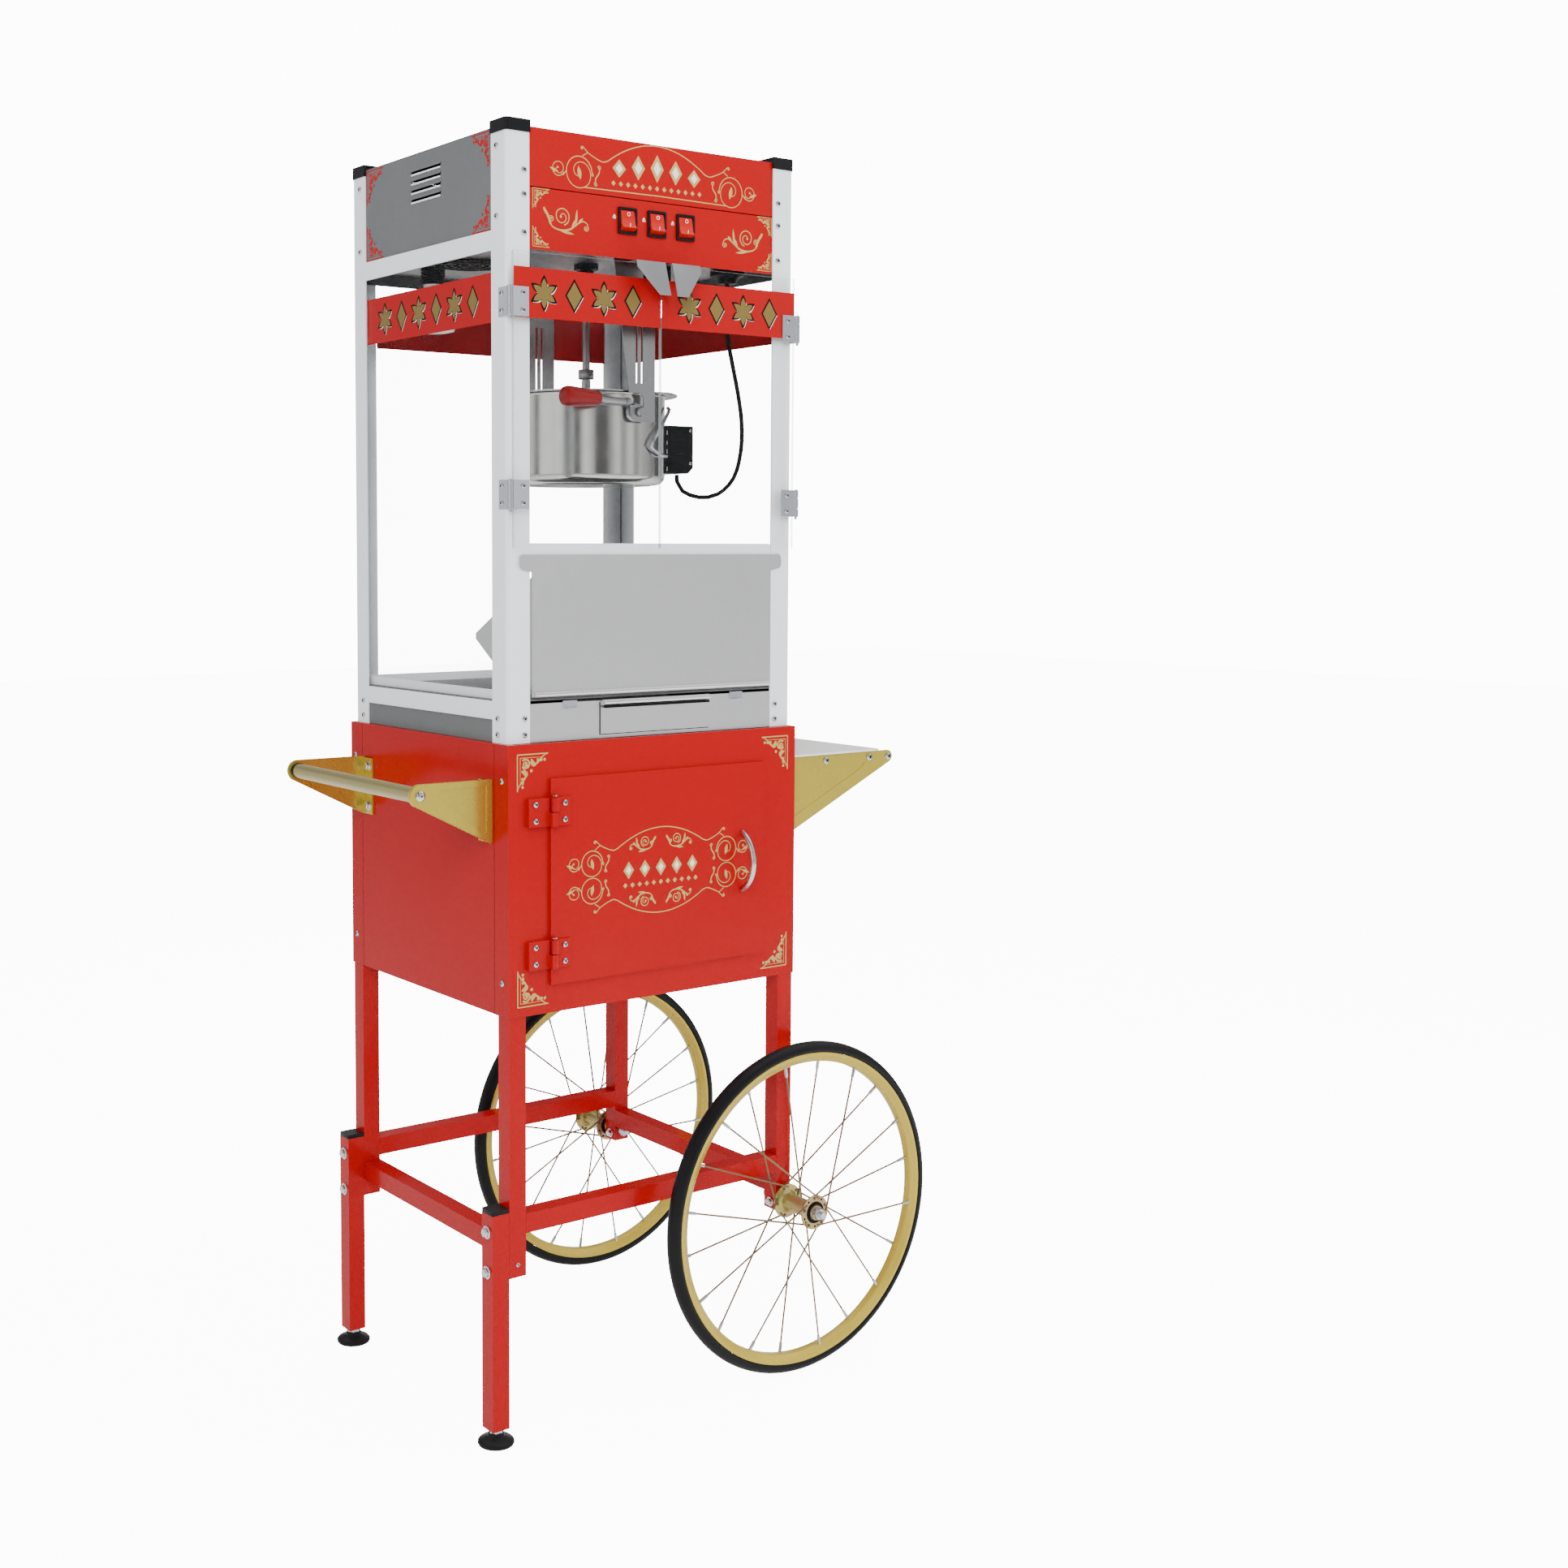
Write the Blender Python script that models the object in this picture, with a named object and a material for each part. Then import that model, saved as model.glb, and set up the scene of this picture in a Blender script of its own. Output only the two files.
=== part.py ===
"""Popcorn machine on a two-wheeled cart: one named closed solid for each sub-part.

All sizes are metres.  Places are written from the middle of the cart (x to the right,
y to the back, z up from the floor); the empty "cart" then moves everything so that the
middle of the whole outline stands on the origin.
"""
import math

import bmesh
import bpy
from mathutils import Vector
from mathutils.geometry import tessellate_polygon

GAP = 0.0003                 # clearance between touching pieces
SHEET = 0.0012               # folded sheet metal

# Cart cabinet and frame
BOX_W, BOX_D = 0.2336, 0.2042            # half width and half depth
BOX_BOTTOM, BOX_TOP = 0.546, 0.888
TUBE, TUBE_WALL = 0.025, 0.002
POST_X = BOX_W - SHEET - GAP - TUBE / 2
POST_Y = BOX_D - SHEET - GAP - TUBE / 2
POST_BOTTOM, POST_TOP = 0.214, BOX_TOP - SHEET - GAP
LONG_RAIL_Z, CROSS_RAIL_Z = 0.2805, 0.2495
LEG_X = POST_X + TUBE + GAP
LEG_BOTTOM, LEG_TOP = 0.021, 0.299
FOOT_RADIUS, FOOT_TRAVEL_STEM = 0.0235, 0.060

# Cart door
DOOR_LEFT, DOOR_RIGHT = -0.1727, 0.1763
DOOR_BOTTOM, DOOR_TOP = 0.582, 0.8435
DOOR_BACK, DOOR_FRONT = -0.2047, -0.2086
DOOR_PIN = Vector((-0.1705, -0.2136, 0.0))
HINGE_HEIGHT, KNUCKLE_R, PIN_R = 0.036, 0.0045, 0.002
HINGE_BOTTOMS = {"cabinet_hinge_upper": 0.784, "cabinet_hinge_lower": 0.604}
PULL_X, PULL_BOTTOM, PULL_TOP, PULL_REACH, PULL_R = 0.137, 0.672, 0.750, 0.029, 0.004

# Wheels
WHEEL_R, TYRE_DEPTH, TYRE_W = 0.2286, 0.014, 0.022
RIM_DEPTH, RIM_W = 0.013, 0.020
WHEEL_Y, FLANGE_OFFSET, HUB_FLANGE_R = 0.240, 0.028, 0.0235
AXLE_R, HUB_BORE = 0.005, 0.0053
SPOKES_PER_FLANGE, SPOKE_R, SPOKE_LEAN = 10, 0.001, 1.15

# Push handle and side shelf
HANDLE_X, HANDLE_Z, HANDLE_Y, HANDLE_R = -0.3376, 0.829, 0.1635, 0.010
HANDLE_BRACKET, SHELF_BRACKET = 0.003, 0.002
EYE_R = 0.0145
SHELF_Y, SHELF_TIP_X, SHELF_TIP_R, SHELF_TOP_Z = 0.1895, 0.420, 0.009, 0.843
SHELF_LOW_Z, SHELF_TAB, SHELF_END_X, SHELF_HALF = 0.737, 0.022, 0.400, 0.1950

# Machine cabinet
CASE_W, CASE_D = 0.2294, 0.1956          # half width and half depth over the corner posts
CASE_BOTTOM, CASE_TOP = BOX_TOP + GAP, 1.650
CORNER_LEG, CORNER_WALL, CORNER_R = 0.034, 0.002, 0.0045
PAN_W, PAN_D = CASE_W - CORNER_WALL - GAP, CASE_D - CORNER_WALL - GAP
RAIL_PROUD = 0.0016
RAIL_Y, RAIL_X = CASE_D - CORNER_LEG - GAP, CASE_W - CORNER_LEG - GAP
LOW_RAIL, HIGH_RAIL = (0.9172, 0.9404), (1.4960, 1.5207)
PAN_TOP = 0.9417
GLASS = 0.003
PANE_X, PANE_Y = PAN_W - SHEET - GAP, PAN_D - SHEET - GAP
PANE_BOTTOM, PANE_TOP, PANE_FRONT = 0.9422, 1.5110, -0.1910
ROOF_TOP, FASCIA_BOTTOM = 1.645, 1.5736
SWITCH_BAND = (1.4974, 1.5724)
CEILING = (1.5117, 1.5129)
SWITCH_XS = {"rocker_left": -0.0455, "rocker_middle": 0.001, "rocker_right": 0.0474}
SWITCH_Z, SWITCH_W, SWITCH_H = 1.5448, 0.0215, 0.0265

# Glass doors, tilting front panel, drawer
GDOOR_OUT, GDOOR_MID = 0.2254, 0.0008
GDOOR_Z, GDOOR_Y = (1.131, 1.492), (-0.2056, -0.2016)
GDOOR_PIN = Vector((0.2300, -0.2060, 0.0))
PULL_XS, PULL_LOW, PULL_REACH_Y, PULL_FLARE = (0.0050, 0.0510), 1.450, 0.0145, 0.29
TILT_Z, TILT_Y = (0.9455, 1.123), (-0.1975, -0.1963)
TILT_X, TILT_EAR_X = 0.1935, 0.212
TILT_PIN = Vector((0.0, -0.1968, 0.9455))
DRAWER_W, DRAWER_Z = 0.088, (0.894, 0.936)

# Kettle
KETTLE = Vector((0.0, -0.038, 0.0))
POT_R, POT_BOTTOM, POT_TOP = 0.107, 1.2155, 1.335
TRUNNION = Vector((0.002, 0.0, 1.309))
HANGER_OUT, HANGER, HOOK_R = 0.1180, 0.0015, 0.0068
LID_R, LID_FLAT, LID_EDGE, LID_Z = 0.124, 0.112, 0.0085, (1.3353, 1.3368)
COLLAR_BOTTOM, SHAFT_TOP, SHAFT_R = 1.3592, 1.3580, 0.006
PIVOT_PIN_R, LID_BAR, LID_BOSS, LID_NOTCH = 0.0062, 0.0080, 0.0130, 0.0140
CORD_POINTS = [
    (0.1783, -0.1200, 1.4905), (0.1779, -0.1200, 1.4600), (0.1790, -0.1200, 1.4230), (0.1880, -0.1205, 1.3830),
    (0.1965, -0.1220, 1.3450), (0.2020, -0.1240, 1.3050), (0.2035, -0.1210, 1.2650), (0.1990, -0.1110, 1.2280),
    (0.1860, -0.0920, 1.2060), (0.1700, -0.0700, 1.2020), (0.1555, -0.0515, 1.2110), (0.1507, -0.0454, 1.2240),
    (0.1503, -0.0450, 1.2338),
]
CORD_R, CORD_STEP = 0.003, 0.0125

HANDLE_END = HANDLE_X - EYE_R
WHEEL_END = POST_X + WHEEL_R
CENTRE_X = (HANDLE_END + WHEEL_END) / 2

# Joint axes: body name -> (parent body, point on its axis)
LEG_PLACES = {"front": -POST_Y, "back": POST_Y}
JOINTS = {
    "front_foot": ("cart", Vector((-LEG_X, -POST_Y, 0.0))),
    "back_foot": ("cart", Vector((-LEG_X, POST_Y, 0.0))),
    "front_wheel": ("cart", Vector((POST_X, -WHEEL_Y, WHEEL_R))),
    "back_wheel": ("cart", Vector((POST_X, WHEEL_Y, WHEEL_R))),
    "cabinet_door": ("cart", DOOR_PIN),
    "glass_door_left": ("cart", Vector((-GDOOR_PIN.x, GDOOR_PIN.y, 0.0))),
    "glass_door_right": ("cart", GDOOR_PIN),
    "crumb_drawer": ("cart", Vector((0.0, TILT_Y[0], DRAWER_Z[0]))),
    "tilt_panel": ("cart", TILT_PIN),
    "drive_rod": ("cart", KETTLE),
    "kettle": ("cart", TRUNNION),
    "kettle_lid_left": ("kettle", Vector((-LID_EDGE, KETTLE.y, LID_Z[1]))),
    "kettle_lid_right": ("kettle", Vector((LID_EDGE, KETTLE.y, LID_Z[1]))),
    "agitator": ("kettle", KETTLE),
    "rocker_left": ("cart", Vector((SWITCH_XS["rocker_left"], -0.1895, SWITCH_Z))),
    "rocker_middle": ("cart", Vector((SWITCH_XS["rocker_middle"], -0.1895, SWITCH_Z))),
    "rocker_right": ("cart", Vector((SWITCH_XS["rocker_right"], -0.1895, SWITCH_Z))),
}

# Finish name -> (colour, roughness, metallic, alpha)
FINISHES = {
    "red_paint": ((0.78, 0.015, 0.012), 0.25, 0.0, 1.0),
    "silver_paint": ((0.78, 0.80, 0.82), 0.35, 0.6, 1.0),
    "grey_sheet": ((0.30, 0.31, 0.32), 0.45, 0.6, 1.0),
    "steel": ((0.62, 0.63, 0.64), 0.28, 1.0, 1.0),
    "chrome": ((0.85, 0.85, 0.86), 0.08, 1.0, 1.0),
    "gold_zinc": ((0.72, 0.57, 0.20), 0.30, 1.0, 1.0),
    "black_plastic": ((0.02, 0.02, 0.022), 0.45, 0.0, 1.0),
    "tyre_rubber": ((0.012, 0.012, 0.012), 0.6, 0.0, 1.0),
    "clear_pane": ((0.92, 0.95, 0.96), 0.05, 0.0, 0.25),
    "red_grip": ((0.55, 0.03, 0.03), 0.35, 0.0, 1.0),
    "red_switch": ((0.85, 0.03, 0.02), 0.2, 0.0, 1.0),
    "white_sheet": ((0.85, 0.86, 0.84), 0.35, 0.2, 1.0),
}


# ---------------------------------------------------------------- shape tools

def lift(axis, point, level):
    """Point of a flat drawing, square to axis, placed at a level along the axis."""
    a, b = point
    return {"x": (level, a, b), "y": (a, level, b), "z": (a, b, level)}[axis]


def plate(axis, start, end, outline, holes=()):
    """Sheet or bar: an outline with holes, drawn square to axis and thick from start to end."""
    loops = [list(outline)] + [list(hole) for hole in holes]
    flat = [point for loop in loops for point in loop]
    triangles = tessellate_polygon([[Vector((p[0], p[1], 0.0)) for p in loop] for loop in loops])
    mesh = bmesh.new()
    layers = [[mesh.verts.new(lift(axis, p, level)) for p in flat] for level in (start, end)]
    for layer in layers:
        for triangle in triangles:
            mesh.faces.new([layer[i] for i in triangle])
    first = 0
    for loop in loops:
        count = len(loop)
        for i in range(count):
            a, b = first + i, first + (i + 1) % count
            mesh.faces.new([layers[0][a], layers[0][b], layers[1][b], layers[1][a]])
        first += count
    bmesh.ops.recalc_face_normals(mesh, faces=mesh.faces)
    return mesh


def rectangle(left, right, low, high):
    """Corners of a rectangle in a flat drawing."""
    return [(left, low), (right, low), (right, high), (left, high)]


def arc(centre, radius, start, end, steps):
    """Points of an arc in a flat drawing, from start to end in degrees."""
    angles = [math.radians(start + (end - start) * i / steps) for i in range(steps + 1)]
    return [(centre[0] + radius * math.cos(t), centre[1] + radius * math.sin(t)) for t in angles]


def block(xs, ys, zs):
    """Box between two x, two y and two z levels."""
    return plate("z", zs[0], zs[1], rectangle(xs[0], xs[1], ys[0], ys[1]))


def turned(axis, centre, profile, steps=32):
    """Solid of revolution about axis through centre; profile holds (radius, level) points."""
    mesh = bmesh.new()
    rings = []
    for radius, level in profile:
        if radius < 1e-7:
            rings.append([mesh.verts.new(lift(axis, centre, level))])
            continue
        ring = []
        for i in range(steps):
            turn = math.tau * i / steps
            spot = (centre[0] + radius * math.cos(turn), centre[1] + radius * math.sin(turn))
            ring.append(mesh.verts.new(lift(axis, spot, level)))
        rings.append(ring)
    for here, there in zip(rings, rings[1:] + rings[:1]):
        if len(here) == 1 and len(there) == 1:
            continue
        for i in range(steps):
            j = (i + 1) % steps
            corners = [here[i % len(here)], here[j % len(here)], there[j % len(there)], there[i % len(there)]]
            mesh.faces.new(list(dict.fromkeys(corners)))
    bmesh.ops.recalc_face_normals(mesh, faces=mesh.faces)
    return mesh


def disc(axis, centre, radius, start, end, steps=32):
    """Solid cylinder."""
    return turned(axis, centre, [(0.0, start), (radius, start), (radius, end), (0.0, end)], steps)


def swept(points, radii, sides=10):
    """Round rod through points, with one radius for all or one for each point."""
    path = [Vector(p) for p in points]
    sizes = radii if isinstance(radii, (list, tuple)) else [radii] * len(path)
    mesh = bmesh.new()
    across = None
    rings = []
    for i, (spot, size) in enumerate(zip(path, sizes)):
        before, after = path[max(i - 1, 0)], path[min(i + 1, len(path) - 1)]
        along = (after - before).normalized()
        if across is None:
            across = along.orthogonal().normalized()
        across = (across - along * across.dot(along)).normalized()
        other = along.cross(across)
        turns = [math.tau * k / sides for k in range(sides)]
        rings.append([mesh.verts.new(spot + size * (across * math.cos(t) + other * math.sin(t))) for t in turns])
    for here, there in zip(rings, rings[1:]):
        for k in range(sides):
            n = (k + 1) % sides
            mesh.faces.new([here[k], here[n], there[n], there[k]])
    mesh.faces.new(rings[0])
    mesh.faces.new(rings[-1])
    bmesh.ops.recalc_face_normals(mesh, faces=mesh.faces)
    return mesh


def shaped(base, joins=(), cuts=()):
    """The base with other solids welded on and then cut away."""
    scene = bpy.context.scene
    made = []

    def stand(mesh, name):
        data = bpy.data.meshes.new(name)
        mesh.to_mesh(data)
        mesh.free()
        item = bpy.data.objects.new(name, data)
        scene.collection.objects.link(item)
        item.hide_render = True
        item.display_type = "WIRE"
        made.append(item)
        return item

    host = stand(base, "blank")
    for operation, pieces in (("UNION", joins), ("DIFFERENCE", cuts)):
        for piece in pieces:
            step = host.modifiers.new(operation.lower(), "BOOLEAN")
            step.operation = operation
            step.solver = "EXACT"
            step.object = stand(piece, "tool")
    result = bmesh.new()
    result.from_object(host, bpy.context.evaluated_depsgraph_get())
    for item in made:
        data = item.data
        bpy.data.objects.remove(item)
        bpy.data.meshes.remove(data)
    bmesh.ops.remove_doubles(result, verts=result.verts, dist=1e-6)
    return result


# ---------------------------------------------------------------- scene tools

def clear_scene():
    """Start from an empty scene."""
    for item in list(bpy.data.objects):
        bpy.data.objects.remove(item)


def add_empties():
    """One empty on each joint axis, nested as the joints are."""
    empties = {"cart": bpy.data.objects.new("cart", None)}
    empties["cart"].location = (-CENTRE_X, 0.0, 0.0)
    for body, (parent, point) in JOINTS.items():
        empty = bpy.data.objects.new(body + "_axis", None)
        empty.parent = empties[parent]
        empty.location = point - pivot(parent)
        empties[body] = empty
    for empty in empties.values():
        empty.empty_display_size = 0.03
        bpy.context.scene.collection.objects.link(empty)
    return empties


def pivot(body):
    """Point that a body turns or slides about, from the middle of the cart."""
    return JOINTS[body][1] if body in JOINTS else Vector((0.0, 0.0, 0.0))


def finish(name):
    """Material of a named finish."""
    if name in bpy.data.materials:
        return bpy.data.materials[name]
    colour, roughness, metallic, alpha = FINISHES[name]
    material = bpy.data.materials.new(name)
    material.use_nodes = True
    shader = material.node_tree.nodes["Principled BSDF"]
    shader.inputs["Base Color"].default_value = (*colour, 1.0)
    shader.inputs["Roughness"].default_value = roughness
    shader.inputs["Metallic"].default_value = metallic
    shader.inputs["Alpha"].default_value = alpha
    return material


def add(name, mesh, finish_name, body="cart", smooth=False):
    """Put a solid into the scene as a named node of a body."""
    data = bpy.data.meshes.new(name)
    bmesh.ops.translate(mesh, verts=mesh.verts, vec=-pivot(body))
    mesh.to_mesh(data)
    mesh.free()
    if smooth:
        data.shade_smooth()
        data.set_sharp_from_angle(angle=math.radians(35))
    data.materials.append(finish(finish_name))
    item = bpy.data.objects.new(name, data)
    item.parent = EMPTIES[body]
    bpy.context.scene.collection.objects.link(item)


# ---------------------------------------------------------------- cart frame

def tube_section(x, y):
    """Outer and inner squares of an upright tube centred on x, y."""
    half, inner = TUBE / 2, TUBE / 2 - TUBE_WALL
    return (rectangle(x - half, x + half, y - half, y + half),
            rectangle(x - inner, x + inner, y - inner, y + inner))


def add_side_frame(name, x, with_axles):
    """Two posts welded to the cross rail between them."""
    half, inner = TUBE / 2, TUBE / 2 - TUBE_WALL
    posts = []
    for y in (-POST_Y, POST_Y):
        outer, bore = tube_section(x, y)
        posts.append(plate("z", POST_BOTTOM, POST_TOP, outer, [bore]))
    reach = POST_Y - half + 0.0008
    through = POST_Y - inner + 0.001
    rail = block((x - half + 0.0001, x + half - 0.0001), (-reach, reach),
                 (CROSS_RAIL_Z - half, CROSS_RAIL_Z + half))
    bore = block((x - inner, x + inner), (-through, through),
                 (CROSS_RAIL_Z - inner, CROSS_RAIL_Z + inner))
    cuts = [bore]
    if with_axles:
        for y in (-POST_Y, POST_Y):
            cuts.append(disc("y", (x, WHEEL_R), HUB_BORE, y - TUBE, y + TUBE, 24))
    add(name, shaped(posts[0], [posts[1], rail], cuts), "red_paint")


def add_stretcher(name, y):
    """Long rail between the left and right posts."""
    half, inner = TUBE / 2, TUBE / 2 - TUBE_WALL
    reach = POST_X - half - GAP
    z = LONG_RAIL_Z
    add(name, plate("x", -reach, reach, rectangle(y - half, y + half, z - half, z + half),
                    [rectangle(y - inner, y + inner, z - inner, z + inner)]), "red_paint")


def add_leg(name, y):
    """Lower leg tube with a threaded foot seat at its bottom."""
    outer, bore = tube_section(-LEG_X, y)
    tube = plate("z", LEG_BOTTOM, LEG_TOP, outer)
    hollow = plate("z", LEG_BOTTOM + 0.003, LEG_TOP + 0.01, bore)
    seat = disc("z", (-LEG_X, y), 0.0045, LEG_BOTTOM - 0.01, LEG_BOTTOM + 0.01, 16)
    add(name, shaped(tube, [], [hollow, seat]), "red_paint")


def add_foot(name, y):
    """Levelling foot: glide, lock nut and threaded stem."""
    profile = [(0.0, 0.0), (FOOT_RADIUS - 0.002, 0.0), (FOOT_RADIUS, 0.002), (FOOT_RADIUS, 0.005),
               (0.016, 0.010), (0.0095, 0.0125), (0.0095, LEG_BOTTOM - GAP),
               (0.004, LEG_BOTTOM - GAP), (0.004, FOOT_TRAVEL_STEM), (0.0, FOOT_TRAVEL_STEM)]
    add(name, turned("z", (-LEG_X, y), profile, 24), "black_plastic", name, smooth=True)


# ---------------------------------------------------------------- cart cabinet

def add_cabinet_shell():
    """Folded sheet box with a door opening and corner holes for the posts."""
    outer = block((-BOX_W, BOX_W), (-BOX_D, BOX_D), (BOX_BOTTOM, BOX_TOP))
    inner_w, inner_d = BOX_W - SHEET, BOX_D - SHEET
    cuts = [block((-inner_w, inner_w), (-inner_d, inner_d), (BOX_BOTTOM + SHEET, BOX_TOP - SHEET)),
            block((DOOR_LEFT + 0.008, DOOR_RIGHT - 0.008), (-BOX_D - 0.01, -inner_d + 0.01),
                  (DOOR_BOTTOM + 0.008, DOOR_TOP - 0.008))]
    half = TUBE / 2
    for x in (-POST_X, POST_X):
        for y in (-POST_Y, POST_Y):
            cuts.append(block((x - half - 0.00015, x + half + 0.00015), (y - half - 0.00015, y + half + 0.00015),
                              (BOX_BOTTOM - 0.005, BOX_BOTTOM + SHEET + 0.002)))
    add("cabinet_shell", shaped(outer, [], cuts), "red_paint")


def add_cabinet_door():
    """Pan-folded door with the moving leaves of its two lift-off hinges."""
    pan = block((DOOR_LEFT, DOOR_RIGHT), (DOOR_FRONT, DOOR_BACK), (DOOR_BOTTOM, DOOR_TOP))
    hollow = block((DOOR_LEFT + 0.001, DOOR_RIGHT - 0.001), (DOOR_FRONT + 0.001, DOOR_BACK + 0.01),
                   (DOOR_BOTTOM + 0.001, DOOR_TOP - 0.001))
    pin = (DOOR_PIN.x, DOOR_PIN.y)
    joins, cuts = [], [hollow]
    for bottom in HINGE_BOTTOMS.values():
        top = bottom + HINGE_HEIGHT
        joins.append(block((-0.1655, -0.144), (-0.2118, DOOR_FRONT + 0.0005), (bottom, top)))
        joins.append(block((-0.1695, -0.1645), (-0.2170, -0.2100), (bottom + 0.0185, top)))
        joins.append(disc("z", pin, KNUCKLE_R, bottom + 0.0185, top, 20))
        cuts.append(disc("z", pin, PIN_R + GAP, bottom, top + 0.002, 16))
    add("cabinet_door", shaped(pan, joins, cuts), "red_paint", "cabinet_door")


def add_cabinet_hinge(name, bottom):
    """Fixed leaf of a lift-off hinge, with its knuckle and pin."""
    top = bottom + HINGE_HEIGHT
    pin = (DOOR_PIN.x, DOOR_PIN.y)
    leaf = block((-0.2070, -0.1760), (-0.2105, -BOX_D - GAP), (bottom, top))
    neck = block((-0.1765, -0.1715), (-0.2175, -0.2100), (bottom, bottom + 0.0175))
    knuckle = disc("z", pin, KNUCKLE_R, bottom, bottom + 0.0175, 20)
    rod = disc("z", pin, PIN_R, bottom + 0.001, top + 0.002, 16)
    head = disc("z", pin, 0.0036, top + 0.0005, top + 0.0025, 16)
    add(name, shaped(leaf, [neck, knuckle, rod, head]), "red_paint")


def add_door_pull():
    """Bow handle standing out of the cart door."""
    foot = DOOR_FRONT - GAP
    middle, half = (PULL_BOTTOM + PULL_TOP) / 2, (PULL_TOP - PULL_BOTTOM) / 2
    points = [(PULL_X, foot, PULL_TOP), (PULL_X, foot - 0.003, PULL_TOP)]
    steps = 12
    for i in range(1, steps):
        turn = math.pi * i / steps
        points.append((PULL_X, foot - 0.003 - (PULL_REACH - 0.007) * math.sin(turn), middle + half * math.cos(turn)))
    points += [(PULL_X, foot - 0.003, PULL_BOTTOM), (PULL_X, foot, PULL_BOTTOM)]
    add("door_pull", swept(points, PULL_R, 8), "chrome", "cabinet_door", smooth=True)


# ---------------------------------------------------------------- wheels

def add_wheel(side, sign):
    """Spoked wheel, its solid tyre and its axle, on the front or back of the cart."""
    hub_x, y = POST_X, sign * WHEEL_Y
    centre = (hub_x, WHEEL_R)
    body = side + "_wheel"
    half = TYRE_W / 2
    inner = WHEEL_R - TYRE_DEPTH
    tyre = [(inner + GAP, y - half), (inner + 0.006, y - half), (WHEEL_R - 0.003, y - half * 0.72),
            (WHEEL_R, y - half * 0.30), (WHEEL_R, y + half * 0.30), (WHEEL_R - 0.003, y + half * 0.72),
            (inner + 0.006, y + half), (inner + GAP, y + half)]
    add(side + "_tyre", turned("y", centre, tyre, 40), "tyre_rubber", body, smooth=True)

    width = RIM_W / 2
    bed = inner - RIM_DEPTH
    rim = turned("y", centre, [(inner, y - width), (inner - 0.004, y - width), (bed, y - width * 0.55),
                               (bed, y + width * 0.55), (inner - 0.004, y + width), (inner, y + width)], 40)
    flange, barrel = HUB_FLANGE_R, 0.0125
    hub_profile = [(HUB_BORE, y - 0.0335), (0.0105, y - 0.0335)]
    hub_profile += [(0.0105, y - FLANGE_OFFSET - 0.0018), (flange, y - FLANGE_OFFSET - 0.0012),
                    (flange, y - FLANGE_OFFSET + 0.0012), (barrel, y - FLANGE_OFFSET + 0.003),
                    (barrel, y + FLANGE_OFFSET - 0.003), (flange, y + FLANGE_OFFSET - 0.0012),
                    (flange, y + FLANGE_OFFSET + 0.0012), (0.0105, y + FLANGE_OFFSET + 0.0018)]
    hub_profile += [(0.0105, y + 0.0335), (HUB_BORE, y + 0.0335)]
    hub = turned("y", centre, hub_profile, 16)
    spokes = []
    for face in (-1, 1):
        for k in range(SPOKES_PER_FLANGE):
            turn = math.tau * (k + 0.25 * face) / SPOKES_PER_FLANGE
            crossing = 1 if k % 2 else -1
            lean = SPOKE_LEAN * crossing
            root_r, end_r = flange - 0.004, bed + 0.0015
            root = (hub_x + root_r * math.cos(turn + lean), y + face * FLANGE_OFFSET + crossing * 0.0017,
                    WHEEL_R + root_r * math.sin(turn + lean))
            end = (hub_x + end_r * math.cos(turn), y + face * 0.0035 + crossing * 0.0016,
                   WHEEL_R + end_r * math.sin(turn))
            spokes.append(swept([root, end], SPOKE_R, 5))
    add(body, shaped(rim, [hub] + spokes), "gold_zinc", body, smooth=True)

    post_out, post_in = POST_Y + TUBE / 2, POST_Y - TUBE / 2
    axle = [(0.0, 0.2865), (AXLE_R, 0.2865), (AXLE_R, 0.2805), (0.0085, 0.2805), (0.0085, 0.2740),
            (AXLE_R, 0.2740), (AXLE_R, 0.2060), (0.0085, 0.2060), (0.0085, post_out + GAP),
            (AXLE_R, post_out + GAP), (AXLE_R, post_in - GAP), (0.0080, post_in - GAP),
            (0.0080, post_in - 0.007), (0.0055, post_in - 0.012), (0.0, post_in - 0.0135)]
    add(side + "_axle", turned("y", centre, [(r, sign * level) for r, level in axle], 16), "chrome", smooth=True)


# ---------------------------------------------------------------- handle and shelf

def add_brackets(name, near, thick, outline, tabs):
    """Front and back plates with the folded tabs that screw to the cabinet."""
    for place, sign in (("front", -1), ("back", 1)):
        web = plate("y", *sorted((sign * near, sign * (near + thick))), outline)
        folds = []
        for xs, depth, zs in tabs:
            folds.append(block(sorted(xs), sorted((sign * (near + 0.5 * thick), sign * (near - depth))), zs))
        add(name + "_" + place, shaped(web, folds), "gold_zinc")


def add_handle():
    """Push handle: a bar between two triangular pressed brackets."""
    wall = -BOX_W - GAP
    tip = (HANDLE_X, HANDLE_Z)
    outline = [(wall, 0.761), (wall, 0.843)] + arc(tip, EYE_R, 85, 236, 10)
    tab = ((wall - HANDLE_BRACKET + 0.0002, wall - 0.0001), 0.024, (0.763, 0.841))
    add_brackets("handle_bracket", HANDLE_Y, HANDLE_BRACKET, outline, [tab])
    reach = HANDLE_Y - GAP
    bar = [(HANDLE_R, -reach), (HANDLE_R, reach), (HANDLE_R - 0.0015, reach), (HANDLE_R - 0.0015, -reach)]
    add("handle_bar", turned("y", tip, bar, 24), "gold_zinc", smooth=True)


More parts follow.
